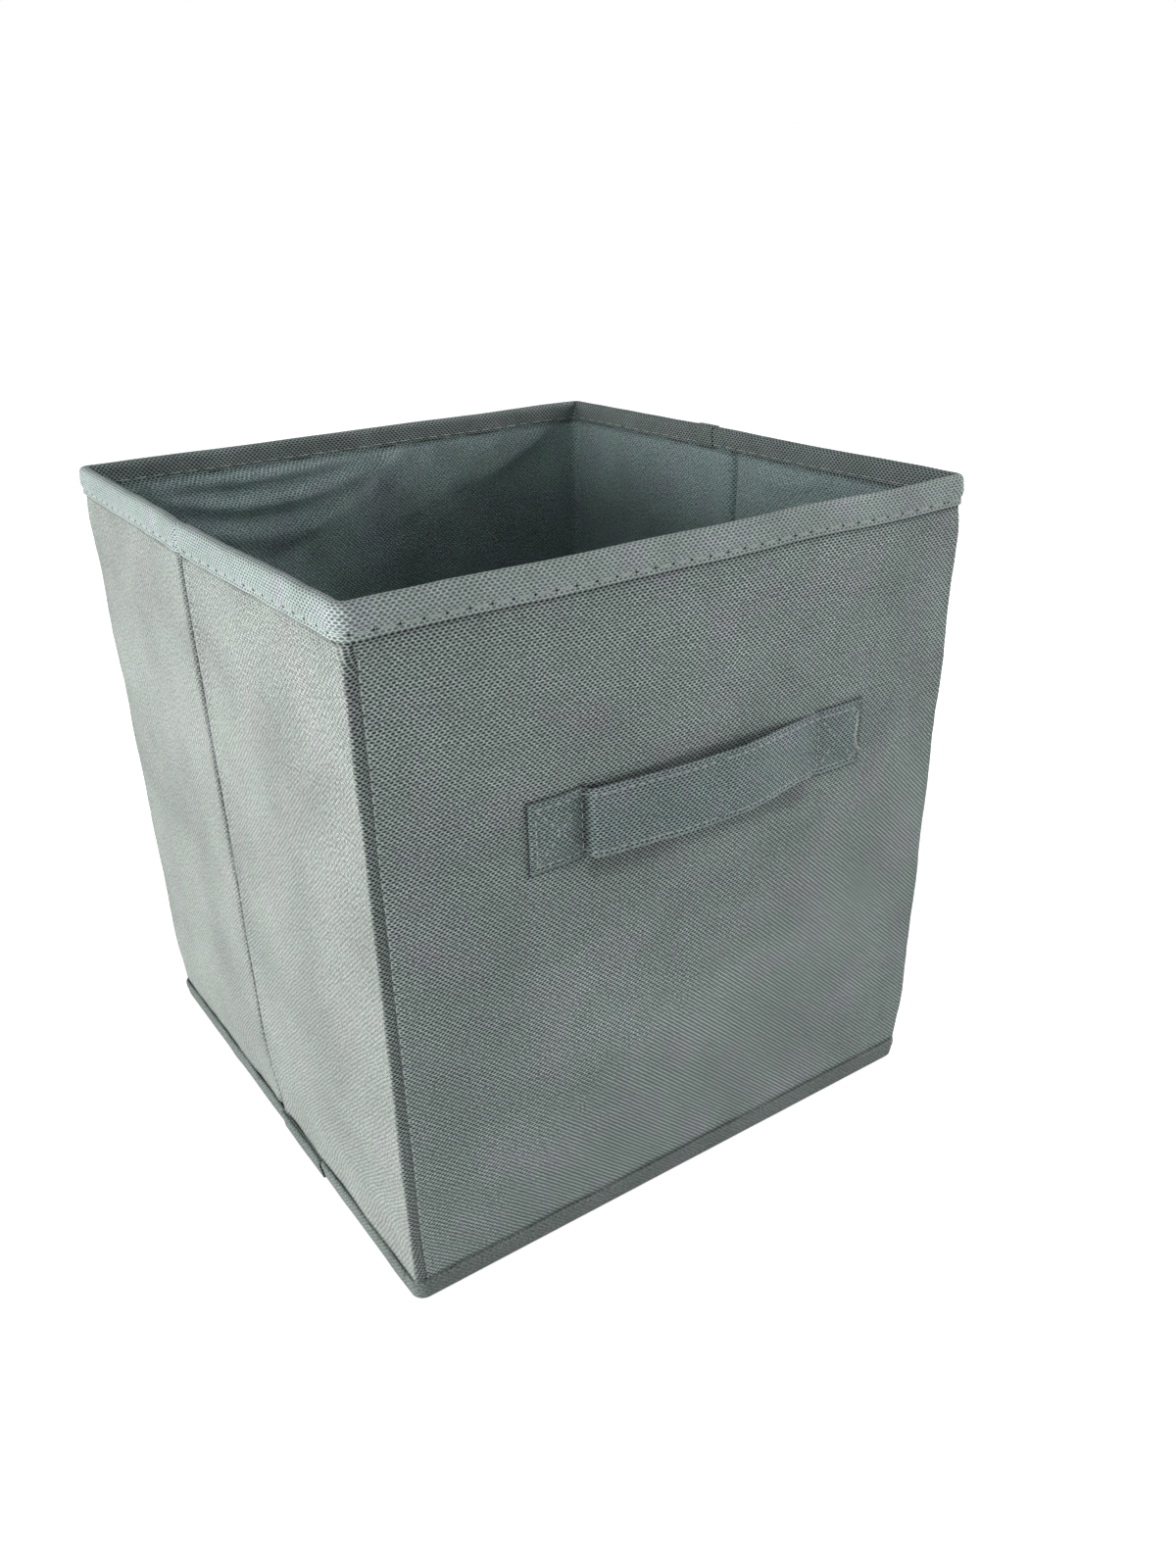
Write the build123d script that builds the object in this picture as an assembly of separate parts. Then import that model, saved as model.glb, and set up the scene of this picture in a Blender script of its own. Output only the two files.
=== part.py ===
"""Collapsible storage bin of spunbond nonwoven over board panels.

Six stiff panels stand in a square: the front, the back and two halves on each side, which fold inwards
at an upright seam. Each panel is a board pocketed between an outer sheet and a lining. A tape binds the
top edge of every panel, a hem carries the soft floor, a covered board lies loose on that floor, and a
strap handle is sewn to the front.

Millimetres, +Z up. The origin is on the floor at the middle of the bin, and the front faces -Y.
"""
import math
import os

from build123d import *

# Overall sizes, over the outer sheets and up to the top of the rim
width = 268.0
depth = 265.0
height = 280.0

# Layers of a wall, from outside to inside
outer_sheet = 0.6
wall_board = 2.0
lining_sheet = 0.6

# Sewn edges of a panel: a flat band where the lining meets the outer sheet, then a slope up the board
corner_round = 2.6
corner_band = 0.9
seam_band = 2.5
lining_slope = 2.0
board_play = 0.4

# Binding tape round the top edge, and the hem at the bottom
tape = 0.8
rim_outside = 11.5
rim_inside = 10.0
rim_round = 1.8
hem_height = 8.0

# Soft floor, and the covered board that lies on it
floor_sheet = 0.8
insert_board = 2.0
insert_cover = 0.5
insert_play = 1.2

# Strap handle, with its sewn ends flat on the front wall
handle_length = 159.0
handle_width = 27.0
handle_level = 185.5
handle_offset = 5.6
strap = 1.6
sewn_end = 23.5
grip_gap = 6.8
left_run = 14.0
right_run = 30.0

# Clearances
seat_gap = 0.3
fold_gap = 0.4
butt_gap = 0.3
seam_gap = 0.6
lip_gap = 0.5

# Sizes that follow from those above
wall = outer_sheet + wall_board + lining_sheet
insert_height = insert_board + 2 * insert_cover
insert_level = floor_sheet + seat_gap
wall_level = insert_level + insert_height + 2 * seat_gap
wall_top = height - tape
wall_height = wall_top - wall_level
half_length = depth / 2 - wall - butt_gap - seam_gap / 2
corner_margin = corner_round + corner_band + lining_slope
seam_margin = seam_band + lining_slope
lip_reach = lip_gap + tape

FROM_CORNER = (Align.MIN, Align.MIN, Align.MIN)
ON_FLOOR = (Align.CENTER, Align.CENTER, Align.MIN)


def block(low, high):
    """Box between two opposite corners."""
    size = [top - bottom for bottom, top in zip(low, high)]
    return Pos(*low) * Box(*size, align=FROM_CORNER)


def wall_frame(start_x, start_y, along):
    """Frame of one panel: x runs along the wall, y into the bin and z up from the floor."""
    return Plane(origin=(start_x, start_y, 0), x_dir=along, z_dir=(0, 0, 1)).location


def end_wall_block(grown, low_z, high_z):
    """Block with the plan of a front or back wall, grown or shrunk at the outside by a thickness.

    Its two outer corners are rounded, and its inner face always stands that thickness further in.
    """
    solid = block((-grown, -grown, low_z), (width + grown, wall + abs(grown), high_z))
    outer_edges = solid.edges().filter_by(Axis.Z).group_by(Axis.Y)[0]
    return fillet(outer_edges, min(corner_round, wall - outer_sheet / 2) + grown)


def end_wall_skin():
    """Outer sheet of a front or back wall, turned round both corners as far as the lining."""
    return end_wall_block(0, wall_level, wall_top) - end_wall_block(-outer_sheet, wall_level, wall_top)


def side_skin():
    """Outer sheet of half a side wall."""
    return block((0, 0, wall_level), (half_length, outer_sheet, wall_top))


def stiffener(start, end):
    """Board of a panel, with play above and below it in its pocket."""
    low = (start, outer_sheet, wall_level + board_play)
    high = (end, outer_sheet + wall_board, wall_top - board_play)
    return block(low, high)


def lining(start, end, start_margin, end_margin):
    """Lining of a panel. At a sewn margin it slopes down past the board's edge to the outer sheet."""
    pocket = outer_sheet + wall_board
    path = []
    if start_margin:
        path += [(start, outer_sheet), (start_margin - lining_slope, outer_sheet), (start_margin, pocket)]
    else:
        path += [(start, pocket)]
    if end_margin:
        path += [(end_margin, pocket), (end_margin + lining_slope, outer_sheet), (end, outer_sheet)]
    else:
        path += [(end, pocket)]
    inner_side = [(x, y + lining_sheet) for x, y in reversed(path)]
    plan = make_face(Polyline(*path, *inner_side, close=True))
    return Pos(0, 0, wall_level) * extrude(plan, wall_height)


def rim_radius():
    """Radius of the binding's top edges, at most what the folded tape leaves room for."""
    return min(rim_round, wall / 2 + tape / 2)


def end_rim():
    """Binding of a front or back wall, closed at both ends. Its inner leg stops short of the sides."""
    level = height - rim_outside
    solid = end_wall_block(tape, level, height)
    solid = fillet(solid.faces().sort_by(Axis.Z)[-1].edges(), rim_radius())
    slot = end_wall_block(0, level, wall_top)
    leg_end = wall + tape + butt_gap
    inner_face = (width + tape, wall + tape, height)
    left_end = block((-tape, wall, level), (leg_end, *inner_face[1:]))
    right_end = block((width - leg_end, wall, level), inner_face)
    below_leg = block((-tape, wall, level), (width + tape, wall + tape, height - rim_inside))
    return solid - slot - left_end - right_end - below_leg


def side_rim():
    """Binding of half a side wall: a strip of tape folded over its top edge."""
    level = height - rim_outside
    solid = block((0, -tape, level), (half_length, wall + tape, height))
    long_edges = solid.faces().sort_by(Axis.Z)[-1].edges().filter_by(Axis.X)
    solid = fillet(long_edges, rim_radius())
    slot = block((0, 0, level), (half_length, wall, wall_top))
    below_leg = block((0, wall, level), (half_length, wall + tape, height - rim_inside))
    return solid - slot - below_leg


def end_panel():
    """Pieces of a front or back wall, in the wall's own frame."""
    board_end = width - corner_margin
    return {
        "outer": end_wall_skin(),
        "board": stiffener(corner_margin, board_end),
        "lining": lining(corner_round, width - corner_round, corner_margin, board_end),
        "rim": end_rim(),
    }


def side_panel(seam_first):
    """Pieces of half a side wall, in its own frame, with the fold seam at its start or at its end."""
    if seam_first:
        board_start, board_end = seam_margin, half_length - board_play
        fabric = lining(0, half_length, seam_margin, None)
    else:
        board_start, board_end = board_play, half_length - seam_margin
        fabric = lining(0, half_length, None, board_end)
    return {
        "outer": side_skin(),
        "board": stiffener(board_start, board_end),
        "lining": fabric,
        "rim": side_rim(),
    }


def walls():
    """The six panels, each set in its place round the floor."""
    side_x, end_y = width / 2, depth / 2
    corner_y = end_y - wall - butt_gap
    seam_y = seam_gap / 2
    rightwards, leftwards = (1, 0, 0), (-1, 0, 0)
    backwards, forwards = (0, 1, 0), (0, -1, 0)
    placed = {
        "front": (wall_frame(-side_x, -end_y, rightwards), end_panel()),
        "back": (wall_frame(side_x, end_y, leftwards), end_panel()),
        "left_front": (wall_frame(-side_x, -seam_y, forwards), side_panel(True)),
        "left_rear": (wall_frame(-side_x, corner_y, forwards), side_panel(False)),
        "right_front": (wall_frame(side_x, -corner_y, backwards), side_panel(False)),
        "right_rear": (wall_frame(side_x, seam_y, backwards), side_panel(True)),
    }
    return {
        f"{place}_{piece}": frame * solid
        for place, (frame, panel) in placed.items()
        for piece, solid in panel.items()
    }


def hem_tape(length):
    """Length of hem: a strip of tape that stands up outside the wall."""
    return block((0, -lip_reach, 0), (length, -lip_gap, hem_height))


def end_hem():
    """Hem tape across the front or back, rounded at its two outer corners."""
    strip = Pos(-lip_reach, 0, 0) * hem_tape(width + 2 * lip_reach)
    outer_edges = strip.edges().filter_by(Axis.Z).group_by(Axis.Y)[0]
    return fillet(outer_edges, min(corner_round, tape / 2))


def floor_edge(length):
    """Edge of the soft floor, bundled under a wall and sewn to the hem outside it."""
    return block((0, -lip_gap, 0), (length, wall, wall_level - seat_gap))


def floor():
    """The soft floor, its edges under the four walls, and the hem outside them."""
    side_x, end_y = width / 2, depth / 2
    inner_length, hem_length = depth - 2 * wall, depth + 2 * lip_gap
    end_edge = Pos(-lip_gap, 0, 0) * floor_edge(width + 2 * lip_gap)
    front, back = wall_frame(-side_x, -end_y, (1, 0, 0)), wall_frame(side_x, end_y, (-1, 0, 0))
    left, right = wall_frame(-side_x, 0, (0, -1, 0)), wall_frame(side_x, 0, (0, 1, 0))
    side_edge = Pos(-inner_length / 2, 0, 0) * floor_edge(inner_length)
    side_hem = Pos(-hem_length / 2, 0, 0) * hem_tape(hem_length)
    return {
        "floor_fabric": Box(width - 2 * wall, inner_length, floor_sheet, align=ON_FLOOR),
        "front_floor_edge": front * end_edge,
        "back_floor_edge": back * end_edge,
        "left_floor_edge": left * side_edge,
        "right_floor_edge": right * side_edge,
        "front_hem": front * end_hem(),
        "back_hem": back * end_hem(),
        "left_hem": left * side_hem,
        "right_hem": right * side_hem,
    }


def insert():
    """The loose base insert: a board sewn into a cover, small enough to pass the rim."""
    margin = 2 * (wall + tape + insert_play)
    cover_size = (width - margin, depth - margin, insert_height)
    board_size = [size - 2 * insert_cover for size in cover_size]
    board = Pos(0, 0, insert_level + insert_cover) * Box(*board_size, align=ON_FLOOR)
    cover = Pos(0, 0, insert_level) * Box(*cover_size, align=ON_FLOOR)
    return {"insert_board": board, "insert_cover": cover - board}


def strap_run(start_x, towards, run):
    """Strap climbing off the wall to its free span in two equal arcs, away from the wall and back."""
    lift = grip_gap
    turn = 2 * math.degrees(math.atan2(lift, run))
    radius = run / (2 * math.sin(math.radians(turn)))
    start = Vector(start_x, -depth / 2 - strap / 2, handle_level)
    away = JernArc(start, (towards, 0, 0), radius, -towards * turn)
    level = JernArc(away @ 1, away % 1, radius, towards * turn)
    path = Wire([away, level])
    section = Plane(origin=start, x_dir=(0, 0, 1), z_dir=(towards, 0, 0)) * Rectangle(handle_width, strap)
    return sweep(section, path)


def handle():
    """The strap handle: two sewn ends, a run up from each, and the free span between them."""
    left_x = handle_offset - handle_length / 2
    right_x = handle_offset + handle_length / 2
    face_y = -depth / 2
    low_z = handle_level - handle_width / 2
    high_z = handle_level + handle_width / 2
    left_foot, right_foot = left_x + sewn_end, right_x - sewn_end
    span_start = left_foot + left_run + butt_gap
    span_end = right_foot - right_run - butt_gap
    span_y = face_y - grip_gap
    return {
        "handle_left_end": block((left_x, face_y - strap, low_z), (left_foot, face_y, high_z)),
        "handle_left_run": strap_run(left_foot, 1, left_run),
        "handle_span": block((span_start, span_y - strap, low_z), (span_end, span_y, high_z)),
        "handle_right_run": strap_run(right_foot, -1, right_run),
        "handle_right_end": block((right_foot, face_y - strap, low_z), (right_x, face_y, high_z)),
    }


def print_axes():
    """Print where the fold and handle axes lie, so that folded bindings rest a fold gap apart."""
    inwards = wall + tape + fold_gap / 2
    outwards = tape + fold_gap / 2
    print("corner folds at x, y:", width / 2 - inwards, depth / 2 - inwards)
    print("side seams at x:", width / 2 + outwards)
    print("handle axis at y, z:", -depth / 2 - grip_gap - strap / 2, handle_level)


def main():
    """Write every piece to its own file."""
    os.makedirs("parts", exist_ok=True)
    pieces = {**walls(), **floor(), **insert(), **handle()}
    for name, solid in pieces.items():
        export_step(solid, f"parts/{name}.step")
    print_axes()
    print(len(pieces), "pieces")


main()
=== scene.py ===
"""Scene of a fabric storage bin: sewn nonwoven walls, bound rim, hem, strap handle, floor and loose base.

Sizes are millimetres in the classes and metres in the meshes. Z is up and the front faces -Y.
"""

import logging
import math
from dataclasses import dataclass
from enum import Enum
from typing import ClassVar

import bpy
import numpy as np
from mathutils import Matrix, Vector


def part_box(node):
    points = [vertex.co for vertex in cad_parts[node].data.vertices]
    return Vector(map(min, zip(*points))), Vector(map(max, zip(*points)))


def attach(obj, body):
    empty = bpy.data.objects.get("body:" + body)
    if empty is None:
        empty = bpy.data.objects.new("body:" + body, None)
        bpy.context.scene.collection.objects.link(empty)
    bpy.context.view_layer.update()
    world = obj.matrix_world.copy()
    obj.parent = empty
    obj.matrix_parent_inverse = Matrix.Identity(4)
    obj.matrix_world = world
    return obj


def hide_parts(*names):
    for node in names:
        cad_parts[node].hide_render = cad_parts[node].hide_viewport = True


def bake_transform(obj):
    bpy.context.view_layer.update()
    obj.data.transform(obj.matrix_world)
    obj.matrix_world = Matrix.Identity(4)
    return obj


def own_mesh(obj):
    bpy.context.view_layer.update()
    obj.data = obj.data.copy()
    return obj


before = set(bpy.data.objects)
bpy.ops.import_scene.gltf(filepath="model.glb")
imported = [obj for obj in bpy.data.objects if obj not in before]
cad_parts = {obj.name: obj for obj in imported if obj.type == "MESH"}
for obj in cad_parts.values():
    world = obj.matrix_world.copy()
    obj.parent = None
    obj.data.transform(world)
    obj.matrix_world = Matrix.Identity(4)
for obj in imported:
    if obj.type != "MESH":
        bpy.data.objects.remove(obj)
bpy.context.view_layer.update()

Array = np.ndarray
Spot = tuple[float, float]
Tree = bpy.types.NodeTree
Socket = bpy.types.NodeSocket
LOG = logging.getLogger("storage_bin")
MM = 0.001
CLOTH_UV = "cloth"
# Attribute of painted shade: seams, creases and edges drawn darker where shade falls, and the strap's shadow.
PAINTED_SHADE = "pressed"
# Attribute that marks the side walls, which get a painted lit look of the cloth.
LIT_SIDE = "taut"


def smooth(low: float, high: float, x: Array) -> Array:
    """Ease from 0 at low to 1 at high by the cubic 3t^2 - 2t^3.

    Args:
        low: Value where the step starts.
        high: Value where it ends, which may be the smaller one.
        x: Values to map.

    Returns:
        Values from 0 to 1.
    """
    t = np.clip((x - low) / (high - low), 0.0, 1.0)
    return t * t * (3.0 - 2.0 * t)


def bell(x: Array, centre: float, width: float) -> Array:
    """Bump of height 1 that falls off as exp(-(distance / width)^2).

    Args:
        x: Values to map.
        centre: Value at the top of the bump.
        width: Distance at which it has fallen to 0.37.

    Returns:
        Values from 0 to 1.
    """
    return np.exp(-(((x - centre) / width) ** 2))


def ripple(a: Array, b: Array, length: float, seed: int) -> Array:
    """Uneven waves: the sum of eight cosines in seeded directions, of about one length.

    Args:
        a: First coordinate.
        b: Second coordinate.
        length: Usual distance from crest to crest.
        seed: Seed of the directions and phases.

    Returns:
        Heights of about 1 either way.
    """
    random = np.random.default_rng(seed)
    turn, phase = random.uniform(0.0, math.tau, (2, 8))
    rate = math.tau / (length * random.uniform(0.7, 1.4, 8))
    a, b = np.broadcast_arrays(a, b)
    across = a[..., None] * rate * np.cos(turn) + b[..., None] * rate * np.sin(turn)
    return np.cos(across + phase).sum(-1) / 2.0


def linear(code: str) -> tuple[float, float, float, float]:
    """Turn an sRGB hex colour into the linear values that shaders take.

    Args:
        code: Colour such as "#9AA09E".

    Returns:
        Red, green, blue and alpha.
    """
    srgb = [int(code[start : start + 2], 16) / 255.0 for start in (1, 3, 5)]
    red, green, blue = (v / 12.92 if v <= 0.04045 else ((v + 0.055) / 1.055) ** 2.4 for v in srgb)
    return red, green, blue, 1.0


def add_node(tree: bpy.types.NodeTree, kind: str, inputs: dict | None = None, **settings) -> bpy.types.Node:
    """Add one shader node, set it up and feed its inputs.

    Args:
        tree: Node tree of a material or world.
        kind: Node type.
        inputs: Input name or number, with the socket or the value that goes in.
        settings: Properties of the node.

    Returns:
        The new node.
    """
    made = tree.nodes.new(kind)
    for name, value in settings.items():
        setattr(made, name, value)
    for name, value in (inputs or {}).items():
        if isinstance(value, bpy.types.NodeSocket):
            tree.links.new(value, made.inputs[name])
        else:
            made.inputs[name].default_value = value
    return made


@dataclass(frozen=True)
class NeedleHoles:
    """Row of dark needle holes along a stitch line.

    Attributes:
        pitch: Distance between holes.
        line: Height of the row in the cloth's own lengths.
        radius: Radius of a hole.
    """

    pitch: float
    line: float
    radius: float = 0.55


@dataclass(frozen=True)
class LitSide:
    """Painted light: a second look of the same nonwoven for the side walls, with lighter and softer pits, less
    mottling and a shifted tone, as cloth that faces the light shows.

    Attributes:
        tone: Colour of the cloth elsewhere times this one gives that of the side walls.
        pit_level: Lightness in a pit, as a share of the cloth's.
        spread: Heights of the lattice where a pit starts and where it is deepest.
        mottle: How much of the mottling is left.
    """

    tone: str = "#F0E6E5"
    pit_level: float = 0.45
    spread: Spot = (-0.1, 1.5)
    mottle: float = 0.45


@dataclass(frozen=True)
class Nonwoven:
    """Spunbond polypropylene nonwoven: matt, faintly mottled, with a lattice of welded pits.

    The pits give the eye the fine diamond grain that reads as a twill from further off, the fibres break
    it up, and the soft green and mauve mottling keeps the grey from looking like plastic.

    The pitch is that of the photo. Real fibres are about 0.02 mm thick. They are drawn as a noise of 1.1 mm,
    and the pits deeper than the 0.1 mm or so of such cloth, because both would be too fine to show.

    Attributes:
        name: Name of the material.
        base: Main colour.
        tint: Colour of the mottled areas.
        depth: Depth of a pit.
        pit_level: Lightness in a pit, as a share of the cloth's.
        spread: Heights of the lattice where a pit starts and where it is deepest.
        pitch: Distance between pits along a row, and between every second row.
        jitter: Distance by which the pits stray from the lattice.
        grain: How far the fibres lighten and darken the cloth, as a share.
        mottle: Usual size of a mottled area.
        roughness: Roughness of the surface.
        taut: Painted look of the side walls, lighter in the pits where they face the light.
        holes: Needle holes, where the cloth has a stitch line in one direction.
    """

    name: str
    base: str
    tint: str
    depth: float = 0.3
    pit_level: float = 0.12
    spread: Spot = (0.1, 0.9)
    pitch: Spot = (2.1, 1.98)
    jitter: float = 0.12
    grain: float = 0.6
    mottle: float = 26.0
    roughness: float = 0.84
    taut: LitSide = LitSide()
    holes: NeedleHoles | None = None

    def material(self) -> bpy.types.Material:
        """Make the material, or give the one that is there.

        Returns:
            The material.
        """
        if self.name in bpy.data.materials:
            return bpy.data.materials[self.name]
        made = bpy.data.materials.new(self.name)
        made.use_nodes = True
        tree = made.node_tree
        shader = tree.nodes["Principled BSDF"]
        cloth = add_node(tree, "ShaderNodeUVMap", uv_map=CLOTH_UV).outputs[0]
        taut = add_node(tree, "ShaderNodeAttribute", attribute_name=LIT_SIDE).outputs["Fac"]
        # Size and detail of the noises: fibres, mottled areas, dense patches, straying of the pits.
        noises = [(1.1, 2.0), (self.mottle, 3.0), (2.1 * self.mottle, 4.0), (5.0, 1.0)]
        fibres, areas, patches, stray = (
            add_node(
                tree,
                "ShaderNodeTexNoise",
                {"Vector": cloth, "Scale": 1.0 / (size * MM), "Detail": detail, "Roughness": 0.6},
                noise_dimensions="2D",
            )
            for size, detail in noises
        )
        weld = self.weld(tree, cloth, fibres.outputs[0], stray.outputs["Color"], taut)
        ends = {"Value": taut, "To Min": 1.0, "To Max": self.taut.mottle}
        mottled = add_node(tree, "ShaderNodeMapRange", ends)
        area = add_node(
            tree,
            "ShaderNodeMapRange",
            {
                "Value": areas.outputs[0],
                "From Min": 0.42,
                "From Max": 0.75,
                "To Max": mottled.outputs[0],
            },
            interpolation_type="SMOOTHSTEP",
        )
        colour = add_node(
            tree,
            "ShaderNodeMix",
            {0: area.outputs[0], 6: linear(self.base), 7: linear(self.tint)},
            data_type="RGBA",
        )
        drawn = add_node(
            tree,
            "ShaderNodeMix",
            {0: taut, 6: colour.outputs[2], 7: linear(self.taut.tone)},
            data_type="RGBA",
            blend_type="MULTIPLY",
        )
        pressed = add_node(tree, "ShaderNodeAttribute", attribute_name=PAINTED_SHADE).outputs["Fac"]
        ends = {"Value": taut, "To Min": self.pit_level, "To Max": self.taut.pit_level}
        bottom = add_node(tree, "ShaderNodeMapRange", ends).outputs[0]
        # The painted shade weighs more in the pits than on the ridges.
        shut = add_node(tree, "ShaderNodeMapRange", {"Value": weld, "To Min": 0.6, "To Max": 1.3}).outputs[0]
        dark = add_node(tree, "ShaderNodeMath", {0: pressed, 1: shut}, operation="MULTIPLY").outputs[0]
        # Value, its range and the lightness at both ends: fibres, dense patches, pits, darker partly as welded
        # spots and partly as painted shade in the hollows, and painted shade along seams and edges.
        shades = (
            (fibres.outputs[0], 0.25, 0.75, 1.0 - self.grain, 1.0 + self.grain),
            (patches.outputs[0], 0.3, 0.7, 0.86, 1.12),
            (weld, 0.0, 1.0, 1.0, bottom),
            (dark, 0.0, 1.0, 1.0, 0.0),
        )
        tone = 1.0
        for value, low, high, first, last in shades:
            ends = {"Value": value, "From Min": low, "From Max": high, "To Min": first, "To Max": last}
            factor = add_node(tree, "ShaderNodeMapRange", ends).outputs[0]
            tone = add_node(tree, "ShaderNodeMath", {0: tone, 1: factor}, operation="MULTIPLY").outputs[0]
        surface_colour = add_node(
            tree,
            "ShaderNodeMix",
            {0: 1.0, 6: drawn.outputs[2], 7: tone},
            data_type="RGBA",
            blend_type="MULTIPLY",
        ).outputs[2]
        hollow = weld
        if self.holes:
            near = self.hole_mask(tree, cloth)
            hollow = add_node(tree, "ShaderNodeMath", {0: weld, 1: near}, operation="MAXIMUM").outputs[0]
            surface_colour = add_node(
                tree,
                "ShaderNodeMix",
                {0: near, 6: surface_colour, 7: linear("#1E2221")},
                data_type="RGBA",
            ).outputs[2]
        relief = add_node(
            tree, "ShaderNodeMath", {0: fibres.outputs[0], 1: 0.4, 2: hollow}, operation="MULTIPLY_ADD"
        )
        bump = add_node(
            tree,
            "ShaderNodeBump",
            {"Strength": 1.0, "Distance": self.depth * MM, "Height": relief.outputs[0]},
            invert=True,
        )
        tree.links.new(surface_colour, shader.inputs["Base Color"])
        tree.links.new(bump.outputs[0], shader.inputs["Normal"])
        shader.inputs["Roughness"].default_value = self.roughness
        shader.inputs["Specular IOR Level"].default_value = 0.3
        shader.inputs["Sheen Weight"].default_value = 0.08
        return made

    def weld(self, tree: Tree, cloth: Socket, fibres: Socket, stray: Socket, taut: Socket) -> Socket:
        """Add the nodes of the welded pits, 1 in the middle of a pit and 0 between pits.

        With c and d the cosines of the two turns, the lattice is c d + 1.1 d^2: pits in staggered rows,
        wider than they are tall. The fibres make each pit uneven.

        Args:
            tree: Node tree of the material.
            cloth: Socket with the cloth's two lengths.
            fibres: Socket with the noise of the fibres.
            stray: Socket with the noise that the pits stray by.
            taut: Socket with how far a point lies on a side wall, where the painted lit look applies.

        Returns:
            The socket with the mask.
        """
        moved = add_node(
            tree,
            "ShaderNodeVectorMath",
            {0: stray, 1: (2.0 * self.jitter * MM,) * 3, 2: cloth},
            operation="MULTIPLY_ADD",
        )
        axes = add_node(tree, "ShaderNodeSeparateXYZ", {0: moved.outputs[0]})
        waves = []
        for axis, pitch in zip("XY", self.pitch):
            turn = add_node(
                tree,
                "ShaderNodeMath",
                {0: axes.outputs[axis], 1: math.tau / (pitch * MM)},
                operation="MULTIPLY",
            )
            wave = add_node(tree, "ShaderNodeMath", {0: turn.outputs[0]}, operation="COSINE")
            waves.append(wave.outputs[0])
        ends = {"Value": fibres, "From Min": 0.2, "From Max": 0.8, "To Min": -0.3, "To Max": 0.3}
        total = add_node(tree, "ShaderNodeMapRange", ends).outputs[0]
        for first, share in ((waves[0], 1.0), (waves[1], 1.1)):
            product = add_node(tree, "ShaderNodeMath", {0: first, 1: waves[1]}, operation="MULTIPLY")
            total = add_node(
                tree, "ShaderNodeMath", {0: product.outputs[0], 1: share, 2: total}, operation="MULTIPLY_ADD"
            ).outputs[0]
        start, end = (
            add_node(tree, "ShaderNodeMapRange", {"Value": taut, "To Min": plain_value, "To Max": lit_value}).outputs[0]
            for plain_value, lit_value in zip(self.spread, self.taut.spread)
        )
        mask = add_node(
            tree,
            "ShaderNodeMapRange",
            {"Value": total, "From Min": start, "From Max": end},
            interpolation_type="SMOOTHSTEP",
        )
        return mask.outputs[0]

    def hole_mask(self, tree: Tree, cloth: Socket) -> Socket:
        """Add the nodes that are 1 in a needle hole and 0 between holes.

        Args:
            tree: Node tree of the material.
            cloth: Socket with the cloth's two lengths.

        Returns:
            The socket with the mask.
        """
        axes = add_node(tree, "ShaderNodeSeparateXYZ", {0: cloth})
        along = add_node(
            tree,
            "ShaderNodeMath",
            {0: axes.outputs["X"], 1: 0.5 * self.holes.pitch * MM},
            operation="PINGPONG",
        )
        beside = add_node(
            tree, "ShaderNodeMath", {0: axes.outputs["Y"], 1: self.holes.line * MM}, operation="SUBTRACT"
        )
        offset = add_node(tree, "ShaderNodeCombineXYZ", {0: along.outputs[0], 1: beside.outputs[0]})
        distance = add_node(tree, "ShaderNodeVectorMath", {0: offset.outputs[0]}, operation="LENGTH")
        mask = add_node(
            tree,
            "ShaderNodeMapRange",
            {
                "Value": distance.outputs["Value"],
                "From Min": 1.3 * self.holes.radius * MM,
                "From Max": 0.5 * self.holes.radius * MM,
            },
            interpolation_type="SMOOTHSTEP",
        )
        return mask.outputs[0]


@dataclass(frozen=True)
class Fleck:
    """Plain matt stuff with fine flecks: polyester sewing thread or grey carton board.

    The flecks keep thread from looking like wire and board from looking like plastic.

    Attributes:
        name: Name of the material.
        base: Main colour.
        fleck: Colour of the flecks.
        grain: Usual size of a fleck.
        roughness: Roughness of the surface.
    """

    name: str
    base: str
    fleck: str
    grain: float
    roughness: float

    def material(self) -> bpy.types.Material:
        """Make the material, or give the one that is there.

        Returns:
            The material.
        """
        if self.name in bpy.data.materials:
            return bpy.data.materials[self.name]
        made = bpy.data.materials.new(self.name)
        made.use_nodes = True
        tree = made.node_tree
        shader = tree.nodes["Principled BSDF"]
        place = add_node(tree, "ShaderNodeTexCoord")
        noise = add_node(
            tree,
            "ShaderNodeTexNoise",
            {"Vector": place.outputs["Object"], "Scale": 1.0 / (self.grain * MM), "Detail": 3.0},
        )
        colour = add_node(
            tree,
            "ShaderNodeMix",
            {0: noise.outputs[0], 6: linear(self.base), 7: linear(self.fleck)},
            data_type="RGBA",
        )
        tree.links.new(colour.outputs[2], shader.inputs["Base Color"])
        shader.inputs["Roughness"].default_value = self.roughness
        return made


OUTER_FINISH = Nonwoven("spunbond polypropylene nonwoven", "#BACCC6", "#BFC6C9")
LINING_FINISH = Nonwoven("spunbond lining nonwoven", "#ADC5C2", "#B2C0C6", pit_level=0.4)
# The hem tape is drawn darker than the walls' cloth as painted shade, since its rounded face turns down and
# away from the light.
HEM_FINISH = Nonwoven("spunbond hem tape", "#88948F", "#8E9596", pit_level=0.5)
STRAP_FINISH = Nonwoven("folded nonwoven strap", "#A7BCB9", "#ABB6BB", mottle=16.0)
BASE_FINISH = Nonwoven("spunbond base cover nonwoven", "#B3C1BE", "#B8BFC3", pit_level=0.4)
THREAD_FINISH = Fleck("polyester sewing thread", "#CDD3CB", "#B3BBB4", 0.6, 0.55)
STRAP_THREAD_FINISH = Fleck("matching polyester thread", "#C9D1CA", "#A8B1AB", 0.6, 0.6)
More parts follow.
